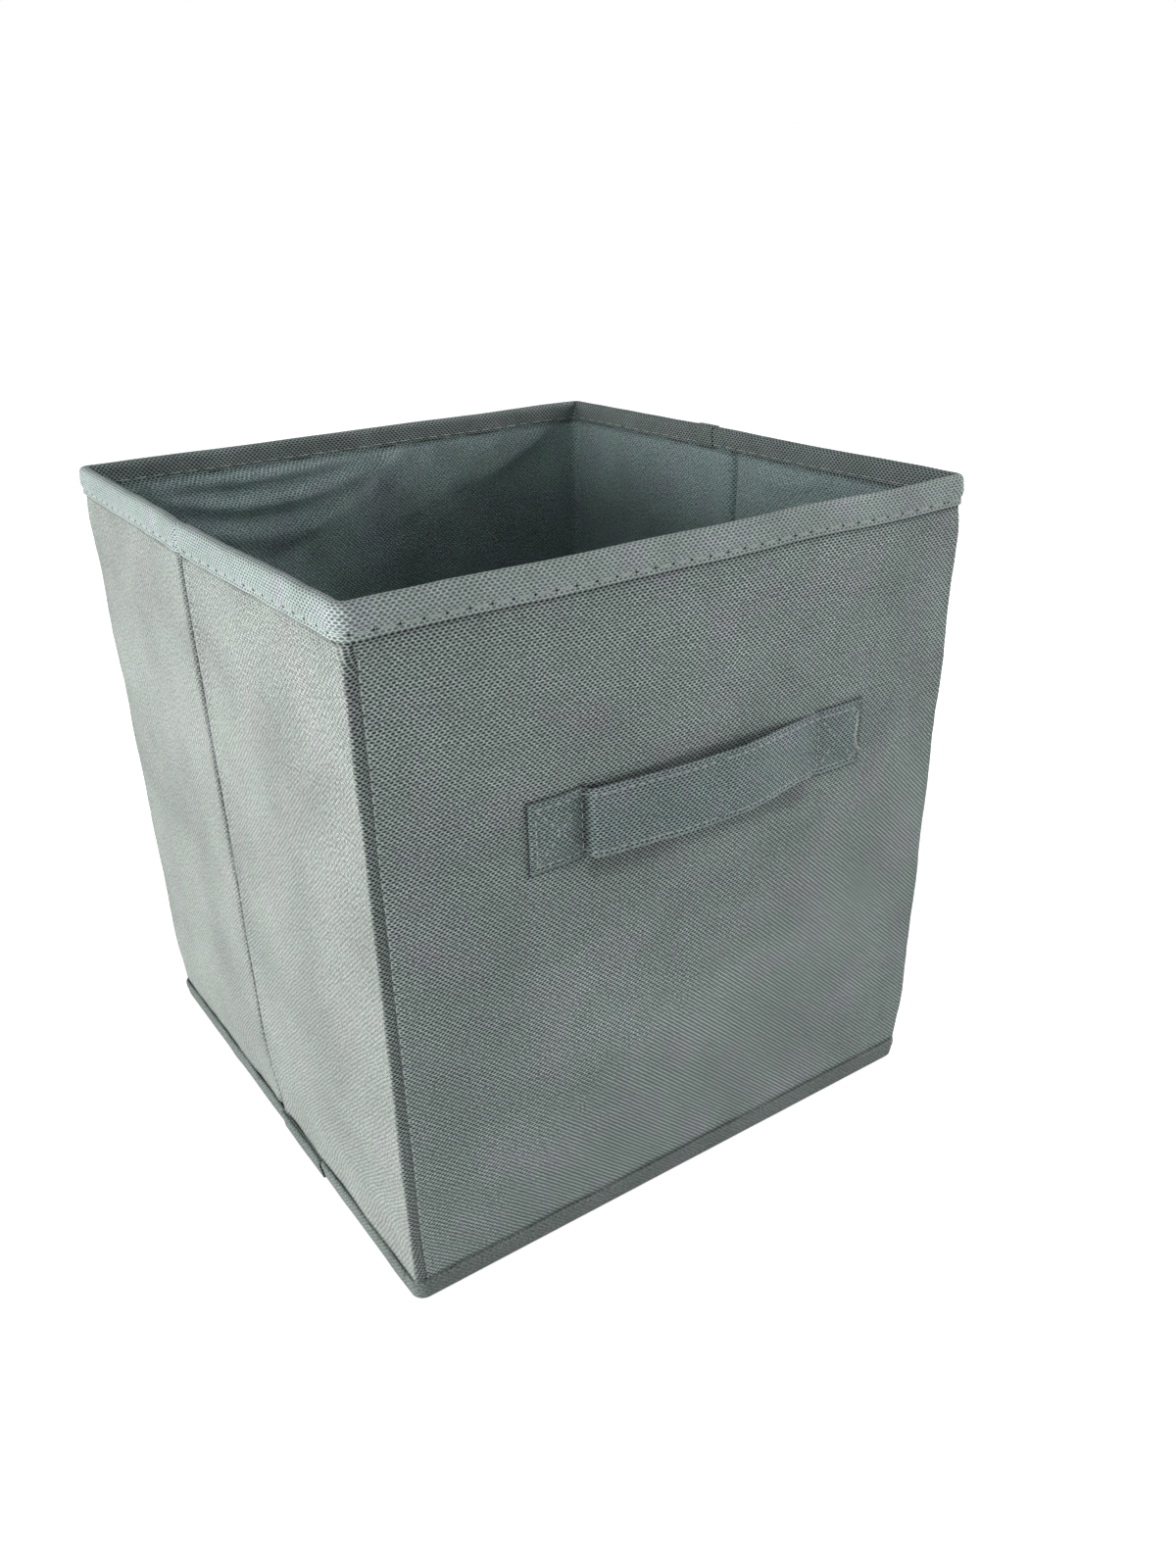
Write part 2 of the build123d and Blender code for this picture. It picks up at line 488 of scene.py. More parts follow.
# The left fold seam's thread is drawn dark as painted shade for stitches sunk in the seam's valley.
SEAM_SHADE_THREAD_FINISH = Fleck("dark polyester sewing thread", "#5C6663", "#48514F", 0.6, 0.6)
BOARD_FINISH = Fleck("grey carton board", "#8C877E", "#A39D92", 1.5, 0.9)


def make_piece(
    name: str, points: Array, quads: Array, uv: Array, finish: Nonwoven | Fleck
) -> bpy.types.Object:
    """Make one mesh object with smooth faces and the cloth's own lengths as its UV map.

    Args:
        name: Name of the object.
        points: Points in millimetres.
        quads: Four point numbers for each face.
        uv: Cloth lengths in millimetres for each point.
        finish: Finish of the piece.

    Returns:
        The object, in the scene.
    """
    mesh = bpy.data.meshes.new(name)
    mesh.from_pydata((points * MM).tolist(), [], quads.tolist())
    mesh.polygons.foreach_set("use_smooth", np.ones(len(quads), bool))
    lengths = mesh.uv_layers.new(name=CLOTH_UV)
    lengths.data.foreach_set("uv", (uv[quads.ravel()] * MM).ravel().astype(np.float32))
    mesh.materials.append(finish.material())
    obj = bpy.data.objects.new(name, mesh)
    bpy.context.scene.collection.objects.link(obj)
    return obj


@dataclass(frozen=True)
class Surface:
    """Grid of points, with the cloth's own lengths along its columns and up its rows.

    Attributes:
        points: Points by row and column.
        along: Length along the row at each point.
        across: Length at each row.
    """

    points: Array
    along: Array
    across: Array

    @classmethod
    def measured(cls, points: Array, row: int | None = None, start: Array | None = None) -> "Surface":
        """Measure the lengths from the points.

        Args:
            points: Points by row and column.
            row: Row whose length counts for all rows. Without it each row has its own, level at the middle.
            start: Length of each row at its first column, where the cloth goes on from another piece.

        Returns:
            The surface.
        """
        steps = np.linalg.norm(np.diff(points, axis=1), axis=2)
        along = np.concatenate([np.zeros((len(points), 1)), np.cumsum(steps, axis=1)], axis=1)
        if start is not None:
            along = along + start[:, None]
        elif row is None:
            middle = points.shape[1] // 2
            along = along + along[len(points) // 2, middle] - along[:, middle : middle + 1]
        else:
            along = np.broadcast_to(along[row], along.shape)
        rises = np.linalg.norm(np.diff(points, axis=0), axis=2).mean(axis=1)
        return cls(points, along, np.concatenate([[0.0], np.cumsum(rises)]))

    def cut(self) -> Spot:
        """Width and length of the flat cloth, taken along the middle row and up the columns."""
        middle = self.along[len(self.along) // 2]
        return float(middle[-1] - middle[0]), float(self.across[-1])

    def normals(self) -> Array:
        """Find unit normals as the cross product of the slopes along and up.

        Returns:
            Normals by row and column.
        """
        rise, run = np.gradient(self.points, axis=(0, 1))
        normal = np.cross(run, rise)
        return normal / np.maximum(np.linalg.norm(normal, axis=2, keepdims=True), 1e-9)

    def mark(self, obj: bpy.types.Object, name: str, values: Array) -> None:
        """Give each point of an object made from this surface a value.

        Args:
            obj: The object.
            name: Name of the attribute.
            values: Values by row and column.
        """
        layer = obj.data.attributes.new(name, "FLOAT", "POINT")
        layer.data.foreach_set("value", np.broadcast_to(values, self.along.shape).ravel().astype(np.float32))

    def piece(self, name: str, finish: Nonwoven | Fleck, thickness: float = 0.0, flip: bool = False,
              offset: float = -1.0, pressed: Array | None = None) -> bpy.types.Object:
        """Turn the surface into an object.

        Args:
            name: Name of the object.
            finish: Finish of the piece.
            thickness: Thickness given to the sheet, if any.
            flip: Whether the faces look the other way.
            offset: Side of the surface on which the thickness lies.
            pressed: How far each point is darkened by painted shade, in seams, creases and under edges.

        Returns:
            The object, in the scene.
        """
        rows, columns = self.points.shape[:2]
        number = np.arange(rows * columns).reshape(rows, columns)
        quads = np.stack([number[:-1, :-1], number[:-1, 1:], number[1:, 1:], number[1:, :-1]], axis=-1)
        quads = quads.reshape(-1, 4)
        if flip:
            quads = quads[:, ::-1]
        across = np.broadcast_to(self.across[:, None], self.along.shape)
        uv = np.stack([self.along, across], axis=-1).reshape(-1, 2)
        obj = make_piece(name, self.points.reshape(-1, 3), quads, uv, finish)
        if pressed is not None:
            self.mark(obj, PAINTED_SHADE, pressed)
        if thickness:
            thicken = obj.modifiers.new("thickness", "SOLIDIFY")
            thicken.thickness = thickness * MM
            thicken.offset = offset
        return obj


@dataclass(frozen=True)
class Stitching:
    """Row of sewn stitches: short bent rods of thread that dive into the cloth at both ends.

    Attributes:
        pitch: Distance from stitch to stitch.
        length: Length of a stitch that shows.
        radius: Radius of the thread.
        lift: Height of the middle of a stitch above the cloth.
        sink: Drop of its ends.
    """

    pitch: float = 3.8
    length: float = 3.1
    radius: float = 0.27
    lift: float = 0.16
    sink: float = 0.42

    def piece(self, name: str, paths: list[tuple[Array, Array]], finish: Fleck) -> bpy.types.Object:
        """Sew along some paths.

        Each stitch has five rings of four points. A ring stands across the path, its middle lies at the
        lift less the sink times the fourth power of the place along the stitch, and its radius shrinks
        the same way.

        Args:
            name: Name of the object.
            paths: Points and surface normals along each path.
            finish: Finish of the thread.

        Returns:
            The object, in the scene.
        """
        place = np.linspace(-1.0, 1.0, 5)
        found = []
        for path, normal in paths:
            reach = np.concatenate([[0.0], np.cumsum(np.linalg.norm(np.diff(path, axis=0), axis=1))])
            count = int(reach[-1] // self.pitch)
            at = (np.arange(count) + 0.5)[:, None] * self.pitch + 0.5 * self.length * place
            centre = np.stack([np.interp(at, reach, path[:, axis]) for axis in range(3)], axis=-1)
            up = np.stack([np.interp(at, reach, normal[:, axis]) for axis in range(3)], axis=-1)
            ahead = np.gradient(centre, axis=1)
            ahead = ahead / np.linalg.norm(ahead, axis=2, keepdims=True)
            side = np.cross(ahead, up)
            centre = centre + up * (self.lift - self.sink * place**4)[None, :, None]
            angle = np.arange(4) * 0.5 * math.pi
            spoke = side[:, :, None] * np.cos(angle)[:, None] + up[:, :, None] * np.sin(angle)[:, None]
            thick = self.radius * np.sqrt(1.0 - 0.85 * place**4)
            found.append((centre[:, :, None] + thick[None, :, None, None] * spoke).reshape(-1, 3))
        points = np.concatenate(found)
        ring, spot = np.meshgrid(np.arange(4), np.arange(4), indexing="ij")
        after = (spot + 1) % 4
        first, second = 4 * ring, 4 * ring + 4
        sides = np.stack([first + spot, second + spot, second + after, first + after], axis=-1)
        caps = np.array([[0, 1, 2, 3], [19, 18, 17, 16]])
        pattern = np.concatenate([sides.reshape(-1, 4), caps])
        quads = (pattern[None] + 20 * np.arange(len(points) // 20)[:, None, None]).reshape(-1, 4)
        return make_piece(name, points, quads, points[:, :2], finish)


class Wall(Enum):
    """The four walls in the order in which the plan goes round, seen from above."""

    FRONT = 0
    RIGHT = 1
    BACK = 2
    LEFT = 3


@dataclass(frozen=True)
class PlanLoop:
    """Rounded rectangle round the bin, seen from above.

    A place on it is a number of stretches: 0 to 1 along the front from left to right, 1 to 2 round the
    front right corner, 2 to 3 along the right wall, and so on up to 8, back at the start.

    Attributes:
        half_x: Half of its width.
        half_y: Half of its depth.
        radius: Usual radius of its corners.
    """

    half_x: float
    half_y: float
    radius: float

    SIDE_X = np.array([-1.0, 1.0, 1.0, 1.0, 1.0, -1.0, -1.0, -1.0, -1.0])
    SIDE_Y = np.array([-1.0, -1.0, -1.0, 1.0, 1.0, 1.0, 1.0, -1.0, -1.0])
    TURN = np.radians([-90.0, -90.0, 0.0, 0.0, 90.0, 90.0, 180.0, 180.0, 270.0])

    def straight(self, wall: Wall) -> float:
        """Half the straight length of a wall."""
        half = self.half_x if wall in (Wall.FRONT, Wall.BACK) else self.half_y
        return half - self.radius

    def place(self, wall: Wall, along: float | Array) -> float | Array:
        """Find the place of a point on a wall.

        Args:
            wall: The wall.
            along: X on the front and back, Y on the left and right.

        Returns:
            The place on the loop.
        """
        way = 1.0 if wall in (Wall.FRONT, Wall.RIGHT) else -1.0
        return 2.0 * wall.value + 0.5 + way * 0.5 * along / self.straight(wall)

    def at(self, place: Array, radius: Array | float, out: Array | float) -> tuple[Array, Array]:
        """Find points on the loop: a corner's centre plus radius and offset along the outward direction.

        Args:
            place: Places on the loop.
            radius: Corner radius there.
            out: Distance outside the loop.

        Returns:
            X and Y.
        """
        around = np.mod(place, 8.0)
        knots = np.arange(9.0)
        turn = np.interp(around, knots, self.TURN)
        x = np.interp(around, knots, self.SIDE_X) * (self.half_x - radius) + (radius + out) * np.cos(turn)
        y = np.interp(around, knots, self.SIDE_Y) * (self.half_y - radius) + (radius + out) * np.sin(turn)
        return x, y


@dataclass(frozen=True)
class Hold:
    """How a piece moves: with one body. A piece that spans a fold to a second body keeps its place baked into
    its mesh and does not move.

    Attributes:
        body: Body that it goes with, or that it starts on.
        onto: Body on the other side of the fold, if any.
        start: X and Y where the turn starts; not used.
        end: X and Y where it is complete; not used.
    """

    body: str
    onto: str = ""
    start: Spot = (0.0, 0.0)
    end: Spot = (0.0, 0.0)

    def take(self, obj: bpy.types.Object) -> None:
        """Attach a finished piece to its body, or, where it spans a fold, bake its place into its mesh.

        Args:
            obj: The piece.
        """
        if not self.onto:
            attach(obj, self.body)
            return
        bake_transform(obj)


@dataclass(frozen=True)
class Run:
    """Stretch of the loop that one panel's cloth covers.

    Attributes:
        name: Name of the panel.
        start: Wall and distance along it where the cloth starts.
        end: Wall and distance along it where the cloth ends.
        hold: How the cloth moves.
        EDGE: Share of a stretch from each end to the next column, which keeps the shading of the end narrow.
        DETAIL: Distances from a detail at which columns stand.
    """

    name: str
    start: tuple[Wall, float]
    end: tuple[Wall, float]
    hold: Hold

    EDGE: ClassVar[float] = 0.0004
    DETAIL: ClassVar[Array] = np.array(
        [-9.0, -6.5, -4.8, -3.5, -2.5, -1.7, -1.0, -0.5, 0.0, 0.5, 1.0, 1.7, 2.5, 3.5, 4.8, 6.5, 9.0]
    )

    def places(self, loop: PlanLoop, step: float, detail: list[tuple[Wall, float]]) -> Array:
        """Space the columns of the cloth: evenly on the walls, closer round corners and details.

        Args:
            loop: The loop.
            step: Distance between columns on a wall.
            detail: Walls and distances along them where columns stand close.

        Returns:
            Places on the loop, in order.
        """
        first = float(loop.place(*self.start))
        last = float(loop.place(*self.end))
        last += 8.0 if last < first else 0.0
        marks = [first, *range(math.ceil(first), math.floor(last) + 1), last]
        parts = [np.array([last]), np.array([first + self.EDGE, last - self.EDGE])]
        for low, high in zip(marks, marks[1:]):
            stretch = math.floor(0.5 * (low + high)) % 8
            count = 10
            if stretch % 2 == 0:
                length = 2.0 * loop.straight(Wall(stretch // 2)) * (high - low)
                count = max(2, math.ceil(length / step))
            parts.append(np.linspace(low, high, count, endpoint=False))
        for wall, along in detail:
            once = loop.place(wall, along + self.DETAIL)
            near = np.concatenate([once, once + 8.0])
            parts.append(near[(near > first) & (near < last)])
        return np.unique(np.round(np.concatenate(parts), 4))


@dataclass(frozen=True)
class BinSizes:
    """Sizes of the bin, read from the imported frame.

    Attributes:
        half_x: Half of the width over the outer cloth.
        half_y: Half of the depth over the outer cloth.
        foot: Height of the bottom edge of the walls.
        wall_top: Height of the top edge of the cloth under the rim.
        wall: Thickness of a wall.
        top: Height of the bin.
        rim_low: Height of the lower edge of the rim tape.
        hem_top: Height of the hem.
        hem_out: Distance from the outer cloth to the hem's face.
    """

    half_x: float
    half_y: float
    foot: float
    wall_top: float
    wall: float
    top: float
    rim_low: float
    hem_top: float
    hem_out: float

    @classmethod
    def read(cls) -> "BinSizes":
        """Read the sizes from the frame's nodes.

        Returns:
            The sizes.
        """
        outer = np.array(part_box("front_outer")) / MM
        side = np.array(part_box("left_front_outer")) / MM
        lining = np.array(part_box("front_lining")) / MM
        rim = np.array(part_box("front_rim")) / MM
        hem = np.array(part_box("front_hem")) / MM
        return cls(
            half_x=-side[0, 0],
            half_y=-outer[0, 1],
            foot=outer[0, 2],
            wall_top=outer[1, 2],
            wall=lining[1, 1] - outer[0, 1],
            top=rim[1, 2],
            rim_low=rim[0, 2],
            hem_top=hem[1, 2],
            hem_out=outer[0, 1] - hem[0, 1],
        )


@dataclass(frozen=True)
class Stance:
    """How the sewn bin stands: its side walls bow at their fold seams and its foot is drawn in.

    Attributes:
        half_x: Half of the width.
        half_y: Half of the depth.
        top: Height of the bin.
        left_bow: Bow of the left wall at its seam.
        right_bow: Bow of the right wall at its seam.
        tuck: Distance by which the hem draws the foot of the walls in.
        pillow: Bulge of the front and back walls.
        wave: Unevenness of the top edge.
        tugs: Inner stitch lines of the strap's ends, which pull the front in: x, depth and half-width.
        tug_z: Lowest and highest height of the strap.
    """

    half_x: float
    half_y: float
    top: float
    tugs: tuple[tuple[float, float, float], ...]
    tug_z: Spot
    left_bow: float = 2.2
    right_bow: float = 0.9
    tuck: float = 1.2
    pillow: float = 0.7
    wave: float = 0.16

    def settle(self, points: Array) -> Array:
        """Move points from the flat walls to where the sewn bin holds them.

        The side walls move out as a tent with a rounded ridge at the seam. All walls move in below 38 mm,
        and the front and back bulge as a parabola across times a sine up the wall, less a bell at each
        pull of the strap.

        Args:
            points: Points with x, y and z last.

        Returns:
            The moved points.
        """
        x, y, z = np.moveaxis(points, -1, 0)
        ridge = 12.0
        tent = 1.0 - (np.hypot(y, ridge) - ridge) / (math.hypot(self.half_y, ridge) - ridge)
        rise = smooth(18.0, 60.0, z) * (1.0 - 0.35 * smooth(255.0, self.top, z))
        side = smooth(self.half_x - 30.0, self.half_x - 8.0, np.abs(x))
        end = smooth(self.half_y - 14.0, self.half_y - 5.0, np.abs(y))
        draw = self.tuck * smooth(38.0, 6.0, z)
        bow = np.where(x < 0.0, -self.left_bow, self.right_bow) * np.maximum(tent, 0.0) * rise
        up = np.sin(math.pi * np.clip(z / self.top, 0.0, 1.0))
        bulge = self.pillow * (1.0 - (x / self.half_x) ** 2) * up
        near_top = smooth(240.0, self.top, z)
        kink = 0.7 * bell(y, 2.0, 7.0) * np.where(x < 0.0, side, 0.0) * smooth(262.0, self.top, z)
        tug = sum(depth * bell(x, line, width) for line, depth, width in self.tugs)
        low, high = self.tug_z
        tug = tug * smooth(low - 7.0, low + 3.0, z) * smooth(high + 7.0, high - 3.0, z)
        bulge = bulge - np.where(y < 0.0, tug, 0.0)
        shift_x = side * (bow - np.sign(x) * draw)
        shift_y = end * np.sign(y) * (bulge - draw)
        shift_z = self.wave * ripple(x, y, 75.0, 11) * near_top - kink
        return points + np.stack([shift_x, shift_y, shift_z], axis=-1)


@dataclass(frozen=True)
class Crease:
    """Soft fold in cloth, along an arc from one point to another.

    Attributes:
        start: Distance along the wall and height where it starts.
        end: Distance along the wall and height where it ends.
        sag: How far its middle hangs below the straight line.
        height: Height of the fold, or depth where it is below zero.
        width: Half-width of the fold.
    """

    start: Spot
    end: Spot
    sag: float
    height: float
    width: float

    def relief(self, along: Array, z: Array) -> Array:
        """Find the height of the fold: a bell across the arc that tapers to its ends.

        Args:
            along: Distance along the wall.
            z: Height.

        Returns:
            Relief at each point.
        """
        run = self.end[0] - self.start[0]
        rise = self.end[1] - self.start[1]
        length = math.hypot(run, rise)
        share = ((along - self.start[0]) * run + (z - self.start[1]) * rise) / length**2
        inside = np.clip(share, 0.0, 1.0)
        beside = ((z - self.start[1]) * run - (along - self.start[0]) * rise) / length
        drop = -math.copysign(self.sag, run) * 4.0 * inside * (1.0 - inside)
        away = np.hypot(beside - drop, (share - inside) * length)
        return self.height * np.sqrt(np.sin(math.pi * inside)) * np.exp(-((away / self.width) ** 2))


def rim_radius(place: Array) -> Array:
    """Corner radius of the top edge, wider at the front left corner, where the cloth's layers are thickest.

    Args:
        place: Places on the loop.

    Returns:
        The radius at each place.
    """
    around = np.mod(place + 4.0, 8.0) - 4.0
    return 4.2 + 1.6 * smooth(-1.6, -1.0, around) * smooth(0.6, 0.0, around)


def panel_runs(sizes: BinSizes, corner_stitch: float, edge: float) -> tuple[Run, ...]:
    """Share the loop out between the six panels.

    Args:
        sizes: Sizes of the bin.
        corner_stitch: X on the front where the left panel's cloth ends.
        edge: Distance from a corner at which the other corners' cloth ends.

    Returns:
        The runs, in the order of the loop.
    """
    x, y = sizes.half_x, sizes.half_y
    left_front = Hold("front_wall", "left_front_wall", (4.0 - x, -y), (-x, 5.5 - y))
    right_front = Hold("front_wall", "right_front_wall", (x - 4.0, -y), (x, 5.5 - y))
    # The turn at the left seam is set shorter than the gap between two columns.
    left_rear = Hold("left_front_wall", "left_rear_wall", (-x, 0.0), (-x, 0.05))
    back = Hold("left_rear_wall", "back_wall", (-x, y - 5.5), (4.0 - x, y))
    right_rear = Hold("back_wall", "right_rear_wall", (x - 4.0, y), (x, y - 5.5))
    return (
        Run("front", (Wall.FRONT, corner_stitch), (Wall.FRONT, x - edge), Hold("front_wall")),
        Run("right_front", (Wall.FRONT, x - edge), (Wall.RIGHT, 0.0), right_front),
        Run("right_rear", (Wall.RIGHT, 0.0), (Wall.BACK, x - edge), right_rear),
        Run("back", (Wall.BACK, x - edge), (Wall.LEFT, y - edge), back),
        Run("left_rear", (Wall.LEFT, y - edge), (Wall.LEFT, 0.0), left_rear),
        Run("left_front", (Wall.LEFT, 0.0), (Wall.FRONT, corner_stitch), left_front),
    )


def dress(
    obj: bpy.types.Object, hold: Hold, nodes: tuple[str, ...], flat: Spot
) -> None:
    """Finish a cloth piece: hide the nodes it stands for, give it its motion and log its faces.

    Args:
        obj: The piece.
        hold: How it moves.
        nodes: Nodes that it stands for.
        flat: Width and length of the flat cloth; not used.
    """
    if nodes:
        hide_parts(*nodes)
    hold.take(obj)
    LOG.info("%s: %d faces", obj.name, len(obj.data.polygons))


@dataclass(frozen=True)
class OuterCover:
    """Outer cloth of the six panels, closed by one stitched seam near the front left corner.

    Attributes:
        sizes: Sizes of the bin.
        stance: How the bin stands.
        patches: Ranges of x and of height of the strap's sewn ends.
        seam_x: X of the stitched seam on the front.
        radius: Corner radius below the rim.
        keep: Distance from the middle of a wall up to which columns stay upright.
        cloth: Thickness of the cloth.
    """

    sizes: BinSizes
    stance: Stance
    patches: tuple[tuple[Spot, Spot], ...]
    seam_x: float = -129.4
    radius: float = 1.4
    keep: float = 128.0
    cloth: float = 0.6

    def straight_up(self, loop: PlanLoop, place: Array, radius: Array) -> Array:
        """Shift places so that columns stay upright where the corners get rounder.

        On a wall, distances from its middle up to keep stay, and those beyond shrink to the shorter
        straight part.

        Args:
            loop: The loop.
            place: Places on the loop.
            radius: Corner radius at each point.

        Returns:
            The shifted places.
        """
        stretch = np.floor(np.mod(place, 8.0))
        wall_half = np.where(stretch % 4.0 == 0.0, loop.half_x, loop.half_y)
        share = 2.0 * (np.mod(place, 8.0) - stretch) - 1.0
        along = share * (wall_half - loop.radius)
        beyond = (wall_half - radius - self.keep) / (wall_half - loop.radius - self.keep)
        kept = np.minimum(np.abs(along), self.keep)
        moved = np.sign(along) * (kept + (np.abs(along) - kept) * beyond)
        return np.where(stretch % 2.0 == 0.0, place + 0.5 * (moved / (wall_half - radius) - share), place)

    def outline(self, x: Array, z: Array) -> Array:
        """Find the painted shade round the strap's sewn ends, where the gap at their edges shades the cloth: a
        bell of the distance outside them.

        Args:
            x: X on the front.
            z: Height.

        Returns:
            Values from 0 to 1.
        """
        total = np.zeros(np.broadcast_shapes(x.shape, z.shape))
        for (left, right), (low, high) in self.patches:
            outside = np.maximum(np.maximum(left - x, x - right), np.maximum(low - z, z - high))
            total = np.maximum(total, bell(np.maximum(outside, 0.0), 0.0, 1.2))
        return total

    def strap_shade(self, x: Array, z: Array) -> Array:
        """Find how dark the strap's shadow lies on the cloth behind its free span and just below it.

        The studio lights hardly cast this shadow, so it is part of the cloth's colour. It is a stand-in:
        it stays where it is when the strap tips or the light changes.

        Args:
            x: X on the front.
            z: Height.

        Returns:
            Values from 0 to 1.
        """
        (left, (low, high)), (right, _) = self.patches
        span = smooth(left[1] - 1.0, left[1] + 4.0, x) * smooth(right[0] + 4.0, right[0] - 14.0, x)
        return 0.5 * span * smooth(low - 14.0, low - 6.0, z) * smooth(high + 1.0, high - 0.6, z)

    def relief(self, x: Array, y: Array, z: Array) -> Array:
        """Find how far the cloth stands off the flat wall: seams, the pull of the rim and soft unevenness.

        Args:
            x: X on the flat wall.
            y: Y on the flat wall.
            z: Height.

        Returns:
            Distance outwards.
        """
        left = -2.0 * bell(y, 0.0, 1.9) + 0.8 * bell(y, -5.5, 2.8) + 0.2 * bell(y, 6.0, 4.0)
        right = 0.9 * bell(y, 0.0, 1.2)
        front = smooth(8.0, 3.0, y + self.sizes.half_y)
        seam = -0.55 * bell(x, self.seam_x, 1.0) + 0.3 * bell(x, self.seam_x + 4.0, 2.4)
        bound = -0.3 * bell(z, self.sizes.rim_low - 1.5, 2.2)
        soft = 0.16 * ripple(x + y, z, 46.0, 3) + 0.05 * ripple(x + y, z, 13.0, 5)
        return np.where(x < 0.0, left, right) + front * seam + bound + soft

    def build(self) -> None:
        """Build the six pieces of cloth."""
        loop = PlanLoop(self.sizes.half_x, self.sizes.half_y, self.radius)
        detail = [(Wall.LEFT, 0.0), (Wall.RIGHT, 0.0), (Wall.FRONT, self.seam_x)]
        detail += [(Wall.FRONT, edge) for span, _ in self.patches for edge in span]
        rows = np.linspace(self.sizes.foot, self.sizes.wall_top - 1.0, 104)
        close = [self.sizes.rim_low + np.linspace(-4.0, 1.0, 11)]
        close += [self.sizes.hem_top + np.linspace(0.0, 5.0, 11)]
        close += [edge + np.linspace(-2.0, 2.0, 9) for edge in self.patches[0][1]]
        z = np.unique(np.round(np.concatenate([rows, *close]), 3))[:, None]
        start = None
        for run in panel_runs(self.sizes, self.seam_x, 8.0):
            place = run.places(loop, 2.5, detail)[None, :]
            radius = self.radius + (rim_radius(place) - 1.0 - self.radius) * smooth(256.0, 269.0, z)
            place = self.straight_up(loop, place, radius)
            x, y = loop.at(place, radius, 0.0)
            x, y = loop.at(place, radius, self.relief(x, y, z))
            points = self.stance.settle(np.stack([x, y, np.broadcast_to(z, x.shape)], axis=-1))
            surface = Surface.measured(points, start=start)
            start = surface.along[:, -1]
            obj = surface.piece(f"{run.name}_cover", OUTER_FINISH, self.cloth, pressed=self.pressed(x, y, z))
            beside = np.abs(x) - np.abs(y) + self.sizes.half_y - self.sizes.half_x
            # Painted light: the side walls get the lit look of the cloth.
            surface.mark(obj, LIT_SIDE, smooth(-1.2, 1.2, beside))
            dress(obj, run.hold, (f"{run.name}_outer",), surface.cut())
            self.sew(run, surface)

    def pressed(self, x: Array, y: Array, z: Array) -> Array:
        """Find the painted shade on the cloth: in its seams, round the strap and in its shadow, under the rim
        and over the hem.

        Args:
            x: X on the wall.
            y: Y on the wall.
            z: Height.

        Returns:
            Values from 0 to 1.
        """
        wide = 0.7 + 1.5 * smooth(60.0, 230.0, z)
        fold = 0.75 * np.exp(-((np.abs(y - 0.2) / (1.0 + wide)) ** 3))
        band = 0.5 * smooth(self.seam_x + 0.8, self.seam_x - 0.8, x) + 0.2 * bell(x, self.seam_x, 0.7)
        strap = np.maximum(0.95 * self.outline(x, z), self.strap_shade(x, z))
        front = smooth(1.4, 0.3, y + self.sizes.half_y)
        under_rim = 0.6 * smooth(self.sizes.rim_low - 2.2, self.sizes.rim_low - 0.6, z)
        seams = np.where(x < 0.0, fold, 0.0) + front * np.maximum(band, strap)
        over_hem = 0.65 * bell(z, self.sizes.hem_top + 2.1, 0.9)
        return np.maximum(seams, np.maximum(under_rim, over_hem))

    def sew(self, run: Run, surface: Surface) -> None:
        """Sew the upright stitch lines: the closing seam at the front left corner and the left fold seam.

        Args:
            run: Run of the cloth.
            surface: The cloth.
        """
        normals = surface.normals()
        if run.name == "front":
            lines = [(surface.points[2:-10, 2], normals[2:-10, 2])]
            thread = Stitching(pitch=4.4, length=3.0, radius=0.24, lift=0.12)
            obj = thread.piece("corner_seam_thread", lines, THREAD_FINISH)
            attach(obj, "front_wall")
        column = {"left_front": 4, "left_rear": -5}.get(run.name)
        if column:
            lines = [(surface.points[2:-10, column], normals[2:-10, column])]
            thread = Stitching(pitch=3.4, length=2.5, radius=0.32, lift=0.05)
            obj = thread.piece(f"{run.name}_seam_thread", lines, SEAM_SHADE_THREAD_FINISH)
            run.hold.take(obj)


